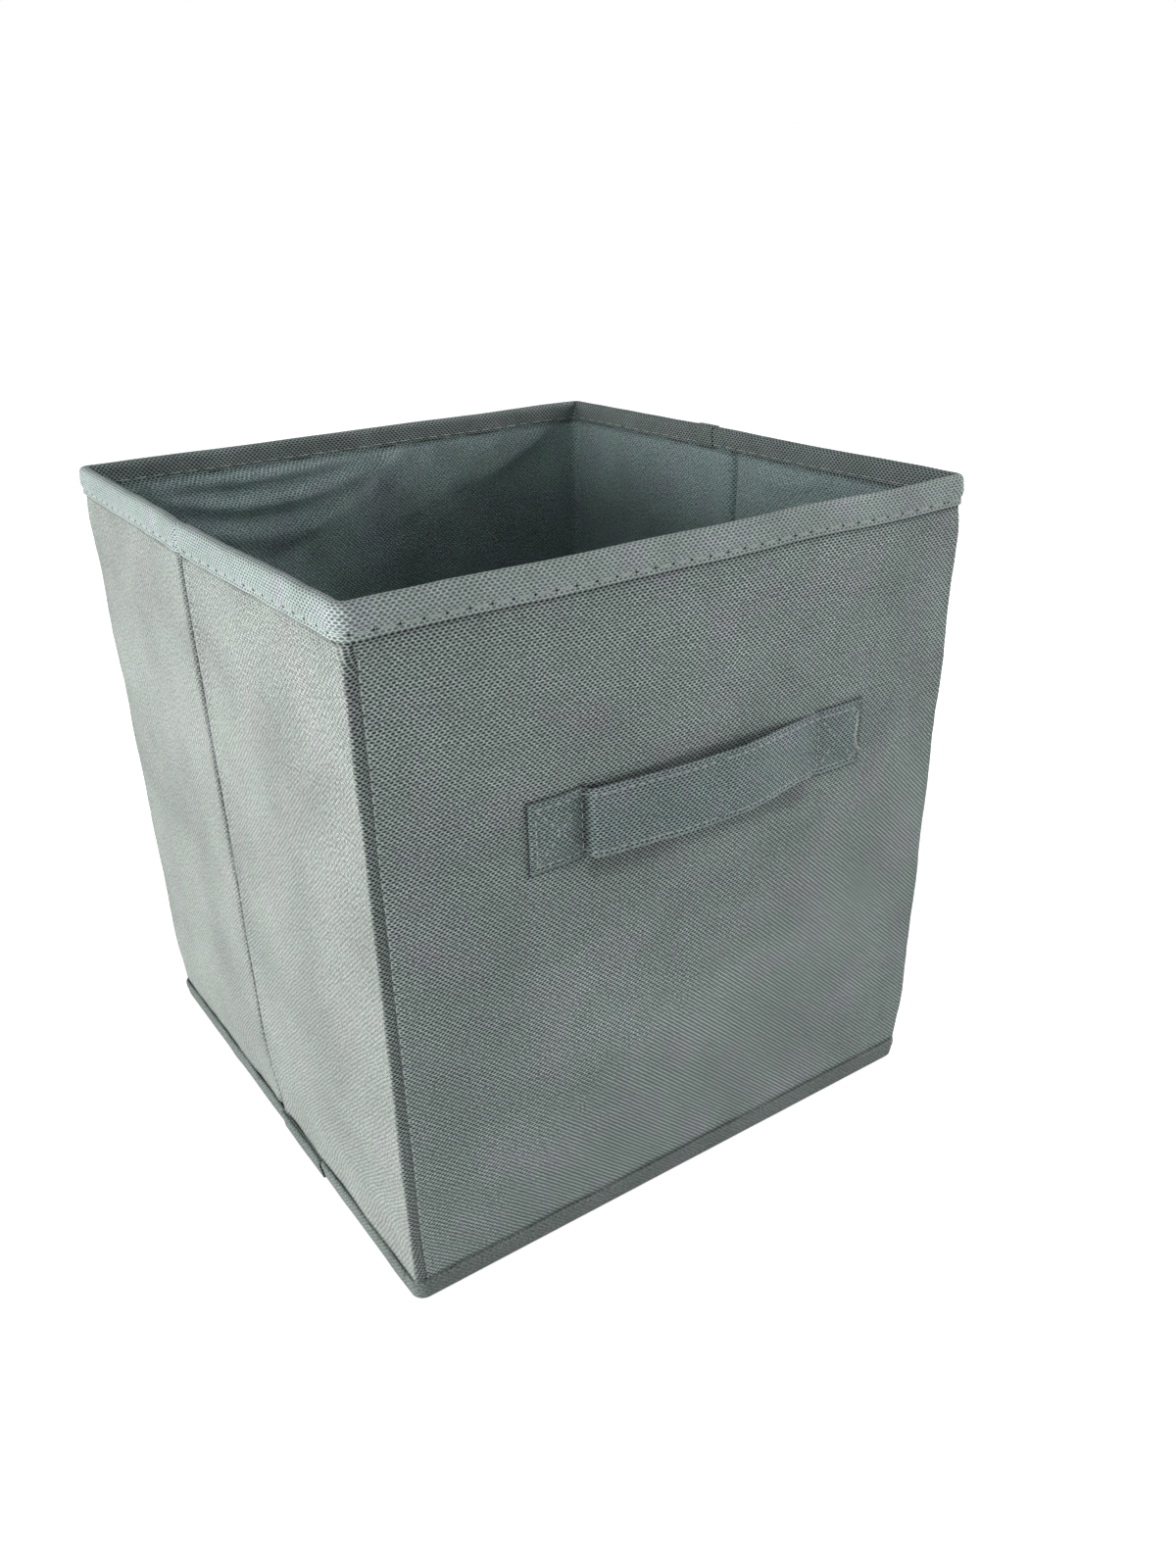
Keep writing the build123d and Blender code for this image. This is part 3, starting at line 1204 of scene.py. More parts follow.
@dataclass(frozen=True)
class Lining:
    """Lining of the six panels, a little loose, with soft folds that hang from the rim.

    Attributes:
        sizes: Sizes of the bin.
        stance: How the bin stands.
        radius: Corner radius.
        cloth: Thickness of the cloth.
        back_folds: Folds of the back panel.
        right_folds: Folds of the right panels.
        front_folds: Folds of the front panel.
        left_folds: Folds of the left panels.
    """

    sizes: BinSizes
    stance: Stance
    radius: float = 4.0
    cloth: float = 0.6
    back_folds: tuple[Crease, ...] = (
        Crease((-122.0, 271.0), (12.0, 272.0), 6.5, 3.3, 3.2),
        Crease((-110.0, 263.0), (16.0, 267.0), 12.5, 4.2, 3.8),
        Crease((-100.0, 250.0), (4.0, 250.0), 13.0, 2.6, 5.0),
        Crease((26.0, 272.0), (-52.0, 228.0), 2.0, 4.0, 2.8),
        Crease((40.0, 268.0), (-30.0, 222.0), 2.0, 1.9, 3.5),
        Crease((80.0, 268.0), (6.0, 229.0), 3.0, 2.0, 4.2),
        Crease((122.0, 272.0), (50.0, 243.0), 2.0, 2.3, 4.0),
        Crease((-40.0, 226.0), (-80.0, 150.0), 4.0, 1.1, 9.0),
        Crease((60.0, 236.0), (20.0, 150.0), 3.0, 0.9, 12.0),
    )
    right_folds: tuple[Crease, ...] = (
        Crease((122.0, 270.0), (108.0, 254.0), 1.0, 1.3, 3.0),
        Crease((92.0, 272.0), (54.0, 240.0), 3.0, 2.2, 3.6),
        Crease((-5.0, 268.0), (-64.0, 268.0), 7.0, 2.3, 2.8),
        Crease((112.0, 268.0), (48.0, 228.0), 3.0, 1.0, 7.0),
        Crease((-70.0, 262.0), (-120.0, 220.0), 3.0, 1.0, 8.0),
    )
    front_folds: tuple[Crease, ...] = (
        Crease((-118.0, 269.0), (-20.0, 270.0), 10.0, 1.6, 5.0),
        Crease((110.0, 268.0), (20.0, 226.0), 4.0, 1.6, 6.0),
        Crease((10.0, 262.0), (-60.0, 205.0), 3.0, 1.2, 8.0),
    )
    left_folds: tuple[Crease, ...] = (
        Crease((-10.0, 269.0), (-90.0, 268.0), 9.0, 1.6, 5.0),
        Crease((104.0, 268.0), (30.0, 225.0), 4.0, 1.5, 6.0),
    )

    def relief(self, x: Array, y: Array, z: Array) -> Array:
        """Find how far the lining stands into the bin.

        Args:
            x: X on the flat lining.
            y: Y on the flat lining.
            z: Height.

        Returns:
            Distance inwards.
        """
        gap_x = self.sizes.half_x - self.sizes.wall - np.abs(x)
        gap_y = self.sizes.half_y - self.sizes.wall - np.abs(y)
        on_end = gap_y < gap_x
        along = np.where(on_end, x, y)
        total = np.zeros_like(along)
        walls = (
            (self.back_folds, on_end & (y > 0.0)),
            (self.front_folds, on_end & (y < 0.0)),
            (self.right_folds, ~on_end & (x > 0.0)),
            (self.left_folds, ~on_end & (x < 0.0)),
        )
        for folds, here in walls:
            for fold in folds:
                total = total + np.where(here, fold.relief(along, z), 0.0)
        loose = 0.5 + 0.28 * ripple(x + 0.7 * y, z, 44.0, 21) + 0.1 * ripple(x - y, z, 17.0, 22)
        corner = smooth(2.0, 14.0, np.maximum(gap_x, gap_y))
        body = (total + loose) * corner * smooth(273.0, 266.0, z) * (0.3 + 0.7 * smooth(6.0, 40.0, z))
        beside = 0.5 * bell(y, 7.0, 4.0) + 0.5 * bell(y, -7.0, 4.0)
        seam = np.where(on_end, 0.0, 2.4 * bell(y, 0.0, 2.2) - beside)
        pleat = np.where(~on_end & (x > 0.0), 1.2 * bell(y, 122.0, 2.6) * smooth(279.0, 268.0, z), 0.0)
        return body - seam + pleat

    def build(self) -> None:
        """Build the six pieces of lining."""
        inset = self.sizes.wall
        loop = PlanLoop(self.sizes.half_x - inset, self.sizes.half_y - inset, self.radius)
        detail = [(Wall.LEFT, 0.0), (Wall.RIGHT, 0.0)]
        z = np.linspace(self.sizes.foot + 0.3, self.sizes.wall_top - 1.5, 112)[:, None]
        start = None
        for run in panel_runs(self.sizes, 10.0 - self.sizes.half_x, 10.0):
            place = run.places(loop, 2.4, detail)[None, :]
            x, y = loop.at(place, self.radius, np.zeros_like(z))
            x, y = loop.at(place, self.radius, -self.relief(x, y, z))
            points = self.stance.settle(np.stack([x, y, np.broadcast_to(z, x.shape)], axis=-1))
            surface = Surface.measured(points, start=start)
            start = surface.along[:, -1]
            # Painted shade in the side walls' seams and along the top, under the rim's inner leg.
            pressed = np.where(np.abs(x) > np.abs(y), 0.5 * bell(y, 0.0, 1.4), 0.0)
            pressed = np.maximum(pressed, 0.6 * smooth(268.2, 269.8, z))
            obj = surface.piece(f"{run.name}_lining_cloth", LINING_FINISH, self.cloth, True, pressed=pressed)
            dress(obj, run.hold, (f"{run.name}_lining",), surface.cut())


@dataclass(frozen=True)
class WallBoards:
    """Carton boards in the pockets between cover and lining, bent with the walls.

    Attributes:
        stance: How the bin stands.
        step: Distance between points of the grid.
        margin: Distance by which the upright edges keep clear of the pocket's seams.
        clear: Distance by which the faces keep clear of the cloth.
    """

    stance: Stance
    step: float = 6.0
    margin: float = 2.0
    clear: float = 0.45

    def build(self) -> None:
        """Build the six boards, each a flat grid across its node's box, given the board's thickness."""
        for name in ("front", "back", "left_front", "left_rear", "right_front", "right_rear"):
            low, high = np.array(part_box(f"{name}_board")) / MM
            middle = 0.5 * (low + high)
            thin = int(np.argmin(high - low))
            wide = 1 - thin
            ends = low[wide] + self.margin, high[wide] - self.margin
            along = np.linspace(*ends, math.ceil((high[wide] - low[wide]) / self.step))
            z = np.linspace(low[2], high[2], math.ceil((high[2] - low[2]) / self.step))
            points = np.empty((len(z), len(along), 3))
            points[..., wide] = along
            points[..., thin] = middle[thin]
            points[..., 2] = z[:, None]
            surface = Surface.measured(self.stance.settle(points))
            thickness = high[thin] - low[thin] - 2.0 * self.clear
            obj = surface.piece(f"{name}_bent_board", BOARD_FINISH, thickness, offset=0.0)
            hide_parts(f"{name}_board")
            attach(obj, f"{name}_wall")
            LOG.info("%s", obj.name)


@dataclass(frozen=True)
class RimBinding:
    """Tape folded over the top edge, rolled under at both edges and stitched through near the outer one.

    Attributes:
        sizes: Sizes of the bin.
        stance: How the bin stands.
        radius: Usual corner radius at the outer cloth.
        stand: Distance from the outer cloth to the tape's face.
        inner: Length of the inner leg.
        roll: Radius of the rolled edges.
        lean: Distance by which the inner leg leans back to the lining.
        flare: Distance by which the outer leg's lower edge stands off.
        stitch_up: Height of the stitch line above the lower edge.
        pitch: Distance between needle holes.
        cloth: Thickness of the tape.
        lap: Lowest and highest y of the lap where the tape's ends meet, on the right.
    """

    sizes: BinSizes
    stance: Stance
    radius: float = 4.2
    stand: float = 0.8
    inner: float = 10.0
    roll: float = 0.4
    lean: float = 0.6
    flare: float = 0.2
    stitch_up: float = 2.4
    pitch: float = 7.9
    cloth: float = 0.3
    lap: Spot = (15.0, 27.0)

    def profile(self) -> tuple[Array, Array]:
        """Draw the tape's section: rolled edge, outer leg, half circle over the edge, inner leg, rolled edge.

        The outer leg swells as a bell above the stitch line and is pinched at the stitches. The inner leg
        leans towards the lining.

        Returns:
            Distance outside the outer cloth, and height.
        """
        thick = self.sizes.wall + 2.0 * self.stand
        bend = 0.5 * thick
        crown = self.sizes.top - bend
        low = self.sizes.rim_low + self.roll
        low_inside = self.sizes.top - self.inner + self.roll
        curl = np.radians(np.linspace(200.0, 360.0, 7))[:-1]
        leg = np.linspace(low, crown, 16)[:-1]
        arch = np.radians(np.linspace(0.0, 180.0, 13))
        fall = np.linspace(crown, low_inside, 10)[1:]
        swell = 0.5 * bell(leg, self.sizes.rim_low + self.stitch_up + 2.6, 2.6)
        pinch = 0.4 * bell(leg, self.sizes.rim_low + self.stitch_up, 1.0)
        flare = self.flare * bell(leg, low, 1.2)
        middle = self.stand - bend
        out = np.concatenate([
            self.stand + self.flare - self.roll + self.roll * np.cos(curl),
            self.stand + swell - pinch + flare,
            middle + bend * np.cos(arch),
            self.stand - thick + self.lean * (crown - fall) / (crown - low_inside),
            self.stand - thick + self.lean + self.roll - self.roll * np.cos(curl[::-1]),
        ])
        z = np.concatenate([
            low + self.roll * np.sin(curl),
            leg,
            crown + bend * np.sin(arch),
            fall,
            low_inside + self.roll * np.sin(curl[::-1]),
        ])
        return out, z

    def surface(self, loop: PlanLoop, place: Array, extra: float) -> Surface:
        """Carry the section along part of the loop.

        Args:
            loop: The loop.
            place: Places on the loop.
            extra: How much larger the section is on all sides, for a second layer.

        Returns:
            The tape.
        """
        out, z = self.profile()
        swell = np.sign(out + 0.5 * self.sizes.wall) * extra
        tall = np.where(z > self.sizes.top - 3.0, extra, 0.0)
        radius = rim_radius(place)
        flat_x, flat_y = loop.at(place, radius, 0.0)
        uneven = 0.1 * ripple(flat_x + flat_y, out[:, None] + z[:, None], 22.0, 31)
        notch = np.where(flat_x < 0.0, 0.9 * bell(flat_y, 0.0, 1.6) - 0.35 * bell(flat_y, -6.0, 4.0), 0.0)
        outer = np.where(out > -0.5 * self.sizes.wall, 1.0, 0.0)[:, None]
        x, y = loop.at(place[None, :], radius[None, :], (out + swell)[:, None] + uneven - outer * notch)
        height = np.broadcast_to((z + tall)[:, None], x.shape)
        return Surface.measured(self.stance.settle(np.stack([x, y, height], axis=-1)), self.stitch_row())

    def pressed(self, surface: Surface) -> Array:
        """Find the painted shade on the tape: over its inner leg, which faces into the bin, and most of all at
        its lower edge.

        Args:
            surface: The tape.

        Returns:
            Values from 0 to 1, by row and column.
        """
        out, z = self.profile()
        inside = smooth(-0.3 * self.sizes.wall, -self.sizes.wall, out)
        edge = smooth(self.sizes.top - self.inner + 1.6, self.sizes.top - self.inner + 0.4, z)
        return np.broadcast_to((inside * (0.6 + 0.25 * edge))[:, None], surface.along.shape)

    def stitch_row(self) -> int:
        """Row of the section that lies nearest the stitch line."""
        z = self.profile()[1]
        return int(np.argmin(np.abs(z[:24] - self.sizes.rim_low - self.stitch_up)))

    def build(self) -> None:
        """Build the six lengths of tape, their stitches and the lap of the tape's ends."""
        loop = PlanLoop(self.sizes.half_x, self.sizes.half_y, self.radius)
        row = self.stitch_row()
        rows = len(self.profile()[1])
        for run in panel_runs(self.sizes, 10.0 - self.sizes.half_x, 10.0):
            place = run.places(loop, 2.0, [(Wall.LEFT, 0.0)])
            surface = self.surface(loop, place, 0.0)
            holes = NeedleHoles(self.pitch, float(surface.across[row]))
            finish = Nonwoven(
                "spunbond binding tape",
                "#C4D5D0",
                "#C7CFD3",
                pit_level=0.3,
                spread=(0.0, 1.0),
                grain=0.35,
                mottle=18.0,
                holes=holes,
            )
            obj = surface.piece(f"{run.name}_binding", finish, self.cloth, pressed=self.pressed(surface))
            dress(obj, run.hold, (f"{run.name}_rim",), surface.cut())
            normals = surface.normals()
            lines = [(surface.points[row], normals[row]), (surface.points[rows - 9], normals[rows - 9])]
            thread = Stitching(self.pitch, self.pitch - 0.9, 0.22, 0.12)
            sewn = thread.piece(f"{run.name}_binding_thread", lines, THREAD_FINISH)
            run.hold.take(sewn)
        place = loop.place(Wall.RIGHT, np.linspace(self.lap[0], self.lap[1], 8))
        surface = self.surface(loop, place, 0.45)
        obj = surface.piece("binding_lap", finish, self.cloth, pressed=self.pressed(surface))
        dress(obj, Hold("right_rear_wall"), (), surface.cut())


@dataclass(frozen=True)
class Hem:
    """Padded tape round the foot of the walls, turned under them.

    Attributes:
        sizes: Sizes of the bin.
        stance: How the bin stands.
        folded: Share of the depth that is left when the bin is folded; not used.
        radius: Corner radius.
        under: Distance that it reaches under the walls.
        undercut: Distance by which its face draws in towards the floor.
        pad: Height by which the padded fold stands above the flat tape.
        cloth: Thickness of the tape.
        lap: Lowest and highest y of the lap where the tape's ends meet, on the left.
    """

    sizes: BinSizes
    stance: Stance
    folded: float
    radius: float = 4.6
    under: float = 3.2
    undercut: float = 0.8
    pad: float = 1.6
    cloth: float = 0.5
    lap: Spot = (-46.0, -4.0)

    def profile(self) -> tuple[Array, Array]:
        """Draw the hem's section: a flattened half round from its top to the floor, then flat under the wall.

        Returns:
            Distance outside the outer cloth, and height.
        """
        turn = np.radians(np.linspace(90.0, -90.0, 25))
        half = 0.5 * (self.sizes.hem_top + self.pad)
        face = 0.2 + (self.sizes.hem_out + 0.3) * np.cos(turn).clip(0.0, 1.0) ** 0.45
        z = half + half * np.sign(np.sin(turn)) * np.abs(np.sin(turn)) ** 0.6
        face = face - 0.2 * bell(z, 4.6, 0.9) - self.undercut * smooth(self.sizes.hem_top, 0.0, z)
        below = np.linspace(0.2 - self.undercut, -self.under, 5)[1:]
        return np.concatenate([face, below]), np.concatenate([z, np.full_like(below, 0.05)])

    def surface(self, loop: PlanLoop, place: Array, extra: float) -> Surface:
        """Carry the section along part of the loop.

        Args:
            loop: The loop.
            place: Places on the loop.
            extra: Distance by which a second layer stands outside.

        Returns:
            The tape.
        """
        out, z = self.profile()
        flat_x, flat_y = loop.at(place, self.radius, 0.0)
        uneven = 0.12 * ripple(flat_x + flat_y, z[:, None], 24.0, 41) * smooth(0.0, 2.0, z)[:, None]
        corner = 0.5 * bell(place, 7.45, 0.2)
        x, y = loop.at(place[None, :], self.radius, (out + extra)[:, None] + uneven + corner)
        points = np.stack([x, y, np.broadcast_to(z[:, None], x.shape)], axis=-1)
        return Surface.measured(self.stance.settle(points), 12)

    def build(self) -> None:
        """Build the hem of the four walls, with the front corners on the front piece, and the lap."""
        loop = PlanLoop(self.sizes.half_x, self.sizes.half_y, self.radius)
        reach = self.sizes.half_y - 8.0
        stretches = {
            "front": (loop.place(Wall.LEFT, -reach) - 8.0, loop.place(Wall.RIGHT, -reach)),
            "right": (loop.place(Wall.RIGHT, -reach), loop.place(Wall.RIGHT, reach)),
            "back": (loop.place(Wall.RIGHT, reach), loop.place(Wall.LEFT, reach)),
            "left": (loop.place(Wall.LEFT, reach), loop.place(Wall.LEFT, -reach)),
        }
        for name, (first, last) in stretches.items():
            marks = np.concatenate([np.linspace(first, last, 110), np.arange(math.ceil(first), last, 0.1)])
            surface = self.surface(loop, np.unique(marks), 0.0)
            self.finish(name, surface, (f"{name}_hem", f"{name}_floor_edge"))
        place = loop.place(Wall.LEFT, np.linspace(self.lap[1], self.lap[0], 22))
        self.finish("left_lap", self.surface(loop, place, 0.9), ())

    def finish(self, name: str, surface: Surface, nodes: tuple[str, ...]) -> None:
        """Make one length of hem; the lengths off the front get a mesh of their own.

        Args:
            name: Name of the wall.
            surface: The tape.
            nodes: Nodes that it stands for.
        """
        obj = surface.piece(f"{name}_hem_tape", HEM_FINISH, self.cloth, flip=True)
        dress(obj, Hold("front_wall"), nodes, surface.cut())
        if name != "front":
            gather(obj)


def gather(obj: bpy.types.Object) -> None:
    """Give a piece of the foot a mesh of its own.

    Args:
        obj: The piece.
    """
    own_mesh(obj)


@dataclass(frozen=True)
class FloorCloth:
    """Soft cloth floor, sewn into the hem.

    Attributes:
        sizes: Sizes of the bin.
        folded: Share of the depth that is left when the bin is folded; not used.
        inset: Distance from the outer cloth to the edge of the floor.
    """

    sizes: BinSizes
    folded: float
    inset: float = 4.6

    def build(self) -> None:
        """Build the floor as a grid with faint waves, held flat at its edges."""
        low, high = np.array(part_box("floor_fabric")) / MM
        x = np.linspace(self.inset - self.sizes.half_x, self.sizes.half_x - self.inset, 70)[None, :]
        y = np.linspace(self.inset - self.sizes.half_y, self.sizes.half_y - self.inset, 70)[:, None]
        x, y = np.broadcast_arrays(x, y)
        edge = smooth(0.0, 30.0, self.sizes.half_x - np.abs(x))
        edge = edge * smooth(0.0, 30.0, self.sizes.half_y - np.abs(y))
        z = high[2] - 0.1 + 0.1 * edge * ripple(x, y, 40.0, 51)
        surface = Surface.measured(np.stack([x, y, z], axis=-1))
        obj = surface.piece("floor_cloth", BASE_FINISH, high[2] - low[2] - 0.25)
        dress(obj, Hold("front_wall"), ("floor_fabric",), surface.cut())
        gather(obj)


@dataclass(frozen=True)
class BaseInsert:
    """Loose base: a board in a sewn cloth sleeve that lifts out.

    Attributes:
        soft: Radius of the cover's edges.
        hem: Distance of the stitch line from the edge.
    """

    soft: float = 1.1
    hem: float = 6.0

    def build(self) -> None:
        """Build the sleeve as a flat grid given the insert's thickness and soft edges, and sew round it."""
        low, high = np.array(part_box("insert_cover")) / MM
        half_x, half_y = high[:2]
        thick = high[2] - low[2]
        x, y = np.meshgrid(np.linspace(-half_x, half_x, 64), np.linspace(-half_y, half_y, 64))
        inside = np.minimum(half_x - np.abs(x), half_y - np.abs(y))
        z = low[2] + 0.5 * thick + 0.12 * ripple(x, y, 60.0, 61) * smooth(0.0, 20.0, inside)
        surface = Surface.measured(np.stack([x, y, z], axis=-1))
        obj = surface.piece("base_cover", BASE_FINISH, thick, offset=0.0)
        soften = obj.modifiers.new("soft edge", "BEVEL")
        soften.width = self.soft * MM
        soften.segments = 3
        dress(obj, Hold("base_insert"), ("insert_cover",), surface.cut())
        up = np.array([0.0, 0.0, 1.0])
        corner_x, corner_y = half_x - self.hem, half_y - self.hem
        top = low[2] + thick + 0.02
        corners = np.array([[-1, -1], [1, -1], [1, 1], [-1, 1], [-1, -1]]) * np.array([corner_x, corner_y])
        lines = []
        for start, end in zip(corners, corners[1:]):
            path = np.linspace(np.append(start, top), np.append(end, top), 60)
            lines.append((path, np.broadcast_to(up, path.shape)))
        sewn = Stitching().piece("base_cover_thread", lines, THREAD_FINISH)
        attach(sewn, "base_insert")
        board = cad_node("insert_board")
        board.data.materials.clear()
        board.data.materials.append(BOARD_FINISH.material())


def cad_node(name: str) -> bpy.types.Object:
    """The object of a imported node."""
    return bpy.data.objects[name]


@dataclass(frozen=True)
class StrapHandle:
    """Flat strap of folded tape on the front, sewn down at both ends, with room for fingers behind it.

    Attributes:
        sizes: Sizes of the bin.
        stance: How the bin stands.
        left: Lowest x and inner x of the left sewn end.
        right: Inner x and highest x of the right sewn end.
        low: Lowest height.
        high: Highest height.
        thick: Thickness of the folded tape.
        lift: Gap behind the middle of the strap.
        edge: Distance of the edge stitching from the edge.
    """

    sizes: BinSizes
    stance: Stance
    left: Spot
    right: Spot
    low: float
    high: float
    thick: float = 1.6
    lift: float = 6.4
    edge: float = 2.5

    @classmethod
    def read(cls, sizes: BinSizes) -> "StrapHandle":
        """Read the strap's places from the frame, and let its inner stitch lines pull the front wall in.

        Args:
            sizes: Sizes of the bin.

        Returns:
            The strap.
        """
        left = np.array(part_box("handle_left_end")) / MM
        right = np.array(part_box("handle_right_end")) / MM
        tugs = ((left[1, 0], 1.3, 5.0), (right[0, 0], 0.5, 6.0))
        stance = Stance(sizes.half_x, sizes.half_y, sizes.top, tugs, (left[0, 2], left[1, 2]))
        spans = (left[0, 0], left[1, 0]), (right[0, 0], right[1, 0])
        return cls(sizes, stance, *spans, left[0, 2], left[1, 2])

    def face(self, x: Array, w: Array, out: Array | float) -> Array:
        """Find points of the strap.

        Its middle line rises off the wall in a steep ease on the left and a slow one on the right. The
        lower edge stands off more than the upper one, and the seam on the left pulls a short hollow into
        the strap.

        Args:
            x: Distance along the strap.
            w: Distance above the strap's middle.
            out: Distance outside the strap's middle sheet.

        Returns:
            Points.
        """
        x, w, out = np.broadcast_arrays(x, w, out)
        rise = 0.5 * smooth(self.left[1], self.left[1] + 2.6, x) + 0.5 * smooth(self.left[1], 0.0, x)
        rise = rise * smooth(self.right[0] + 2.0, 14.0, x)
        half = 0.5 * (self.high - self.low)
        lift = self.lift * rise * (1.0 - 0.16 * w / half)
        hollow = 0.35 * bell(x, self.left[1], 1.6) + 0.2 * bell(x, self.right[0], 2.5)
        sewn = 0.1 * ripple(x, w, 11.0, 71)
        stand = 0.5 * self.thick + 0.1 + lift - hollow + sewn
        droop = 0.5 * rise
        middle = 0.5 * (self.high + self.low)
        points = np.stack([x, -self.sizes.half_y + 0.5 - stand - out, middle + w - droop], axis=-1)
        return self.stance.settle(points)

    def section(self) -> tuple[Array, Array]:
        """Draw the strap's section: two flat faces, rounded edges and shallow grooves under the stitching.

        Returns:
            Distance above the middle, and distance outside the middle sheet, once round.
        """
        half = 0.5 * (self.high - self.low)
        bend = 0.5 * self.thick
        flat = np.linspace(bend - half, half - bend, 29)
        turn = np.radians(np.linspace(90.0, -90.0, 9))[1:-1]
        groove = 0.3 * bell(np.abs(flat), half - self.edge, 0.8)
        inner = flat[::-4]
        side = half - bend + bend * np.cos(turn)
        above = np.concatenate([flat, side, inner, -side])
        round_edge = bend * np.sin(turn)
        out = np.concatenate([bend - groove, round_edge, np.full_like(inner, -bend), -round_edge])
        return np.append(above, above[0]), np.append(out, out[0])

    def build(self) -> None:
        """Build the strap in two halves that meet in the middle of the free span, and sew it."""
        above, out = self.section()
        middle = 0.5 * (self.left[1] + self.right[0])
        left_nodes = ("handle_left_end", "handle_left_run", "handle_span")
        right_nodes = ("handle_right_run", "handle_right_end")
        halves = (
            ("left", np.linspace(self.left[0], middle, 130), left_nodes, (self.left[1], middle - 2.0)),
            ("right", np.linspace(middle, self.right[1], 110), right_nodes, (self.right[0], middle + 2.0)),
        )
        for side, x, nodes, (start, end) in halves:
            close = np.minimum(x - self.left[0], self.right[1] - x)
            thin = np.sqrt(np.clip(1.0 - (1.0 - np.clip(close / 0.9, 0.0, 1.0)) ** 2, 0.0025, 1.0))
            points = self.face(x[:, None], above[None, :], out[None, :] * thin[:, None])
            surface = Surface.measured(np.swapaxes(points, 0, 1), 14)
            # Painted shade in the crease where the strap steps off its left sewn end, and faintly at the right
            # one.
            dark = bell(x, self.left[1] + 0.4, 1.1) + 0.15 * bell(x, self.right[0], 1.0)
            pressed = np.broadcast_to(dark[None, :], surface.along.shape)
            obj = surface.piece(f"strap_{side}", STRAP_FINISH, pressed=pressed)
            hold = Hold("front_wall", "handle_strap", (start, -self.sizes.half_y), (end, -self.sizes.half_y))
            dress(obj, hold, nodes, (60.0, surface.cut()[0]))
            stitches = Stitching(3.9, 3.0, 0.3, 0.12)
            thread = stitches.piece(f"strap_{side}_thread", self.paths(side), STRAP_THREAD_FINISH)
            hold.take(thread)

    def paths(self, side: str) -> list[tuple[Array, Array]]:
        """Lay out the stitch lines of one half: both edges, and a box with a cross on the sewn end.

        Args:
            side: Which half, "left" or "right".

        Returns:
            Points and normals along each line.
        """
        half = 0.5 * (self.high - self.low) - self.edge
        middle = 0.5 * (self.left[1] + self.right[0])
        if side == "left":
            outer, inner, far = self.left[0] + 2.6, self.left[1] - 0.6, middle
        else:
            outer, inner, far = self.right[1] - 2.6, self.right[0] + 0.6, middle
        ends = [
            ((outer, half), (far, half)),
            ((outer, -half), (far, -half)),
            ((outer, -half), (outer, half)),
            ((inner, -half), (inner, half)),
            ((outer, -half), (inner, half)),
            ((outer, half), (inner, -half)),
        ]
        lines = []
        for start, end in ends:
            x = np.linspace(start[0], end[0], 60)
            w = np.linspace(start[1], end[1], 60)
            points = self.face(x, w, 0.5 * self.thick - 0.12)
            lines.append((points, np.broadcast_to(np.array([0.0, -1.0, 0.0]), points.shape)))
        return lines

    def loose_end(self) -> None:
        """Hang a loose thread end from the outer stitch line of the right sewn end."""
        t = np.linspace(0.0, 1.0, 26)
        x = self.right[1] - 1.6 - 2.4 * np.sin(math.pi * t) + 2.6 * t**3
        w = 9.0 - 17.0 * t + 2.0 * np.sin(2.0 * math.pi * t)
        path = self.face(x, w, 0.5 * self.thick + 1.1 * np.sin(math.pi * t) + 0.2)
        normal = np.broadcast_to(np.array([0.0, -1.0, 0.0]), path.shape)
        whole = float(np.linalg.norm(np.diff(path, axis=0), axis=1).sum())
        thread = Stitching(whole / 9.01, whole / 9.01 * 1.06, 0.34, 0.05, 0.05)
        obj = thread.piece("strap_loose_thread", [(path, normal)], THREAD_FINISH)
        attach(obj, "front_wall")


@dataclass(frozen=True)
class PhotoCamera:
    """Camera set to the photograph's angle.

    Attributes:
        place: Place of the camera.
        azimuth: Turn about the upright axis, in degrees.
        elevation: Angle above the floor, in degrees.
        roll: Turn about the line of sight, in degrees.
        focal: Focal length in pixels.
        centre: Pixel on the line of sight.
        size: Width and height of the picture in pixels.
    """

    place: tuple[float, float, float] = (-269.811, -451.174, 382.225)
    azimuth: float = -33.63
    elevation: float = 28.148
    roll: float = -1.713
    focal: float = 1257.955
    centre: Spot = (578.499, 865.165)
    size: Spot = (1200.0, 1600.0)

    def build(self) -> None:
        """Build the camera from its axes: right, up and back."""
        turn, tilt, roll = (math.radians(v) for v in (self.azimuth, self.elevation, self.roll))
        back = Vector((math.sin(turn) * math.cos(tilt), -math.cos(turn) * math.cos(tilt), math.sin(tilt)))
        right = Vector((0.0, 0.0, 1.0)).cross(back).normalized()
        up = back.cross(right)
        rolled_right = math.cos(roll) * right + math.sin(roll) * up
        rolled_up = math.cos(roll) * up - math.sin(roll) * right
        data = bpy.data.cameras.new("photo_camera")
        data.lens = self.focal / self.size[1] * data.sensor_width
        data.shift_x = (0.5 * self.size[0] - self.centre[0]) / self.size[1]
        data.shift_y = (self.centre[1] - 0.5 * self.size[1]) / self.size[1]
        data.clip_start = 0.01
        camera = bpy.data.objects.new("photo_camera", data)
        axes = Matrix((rolled_right, rolled_up, back)).transposed().to_4x4()
        camera.matrix_world = Matrix.Translation(Vector(self.place) * MM) @ axes
        bpy.context.scene.collection.objects.link(camera)
        bpy.context.scene.camera = camera


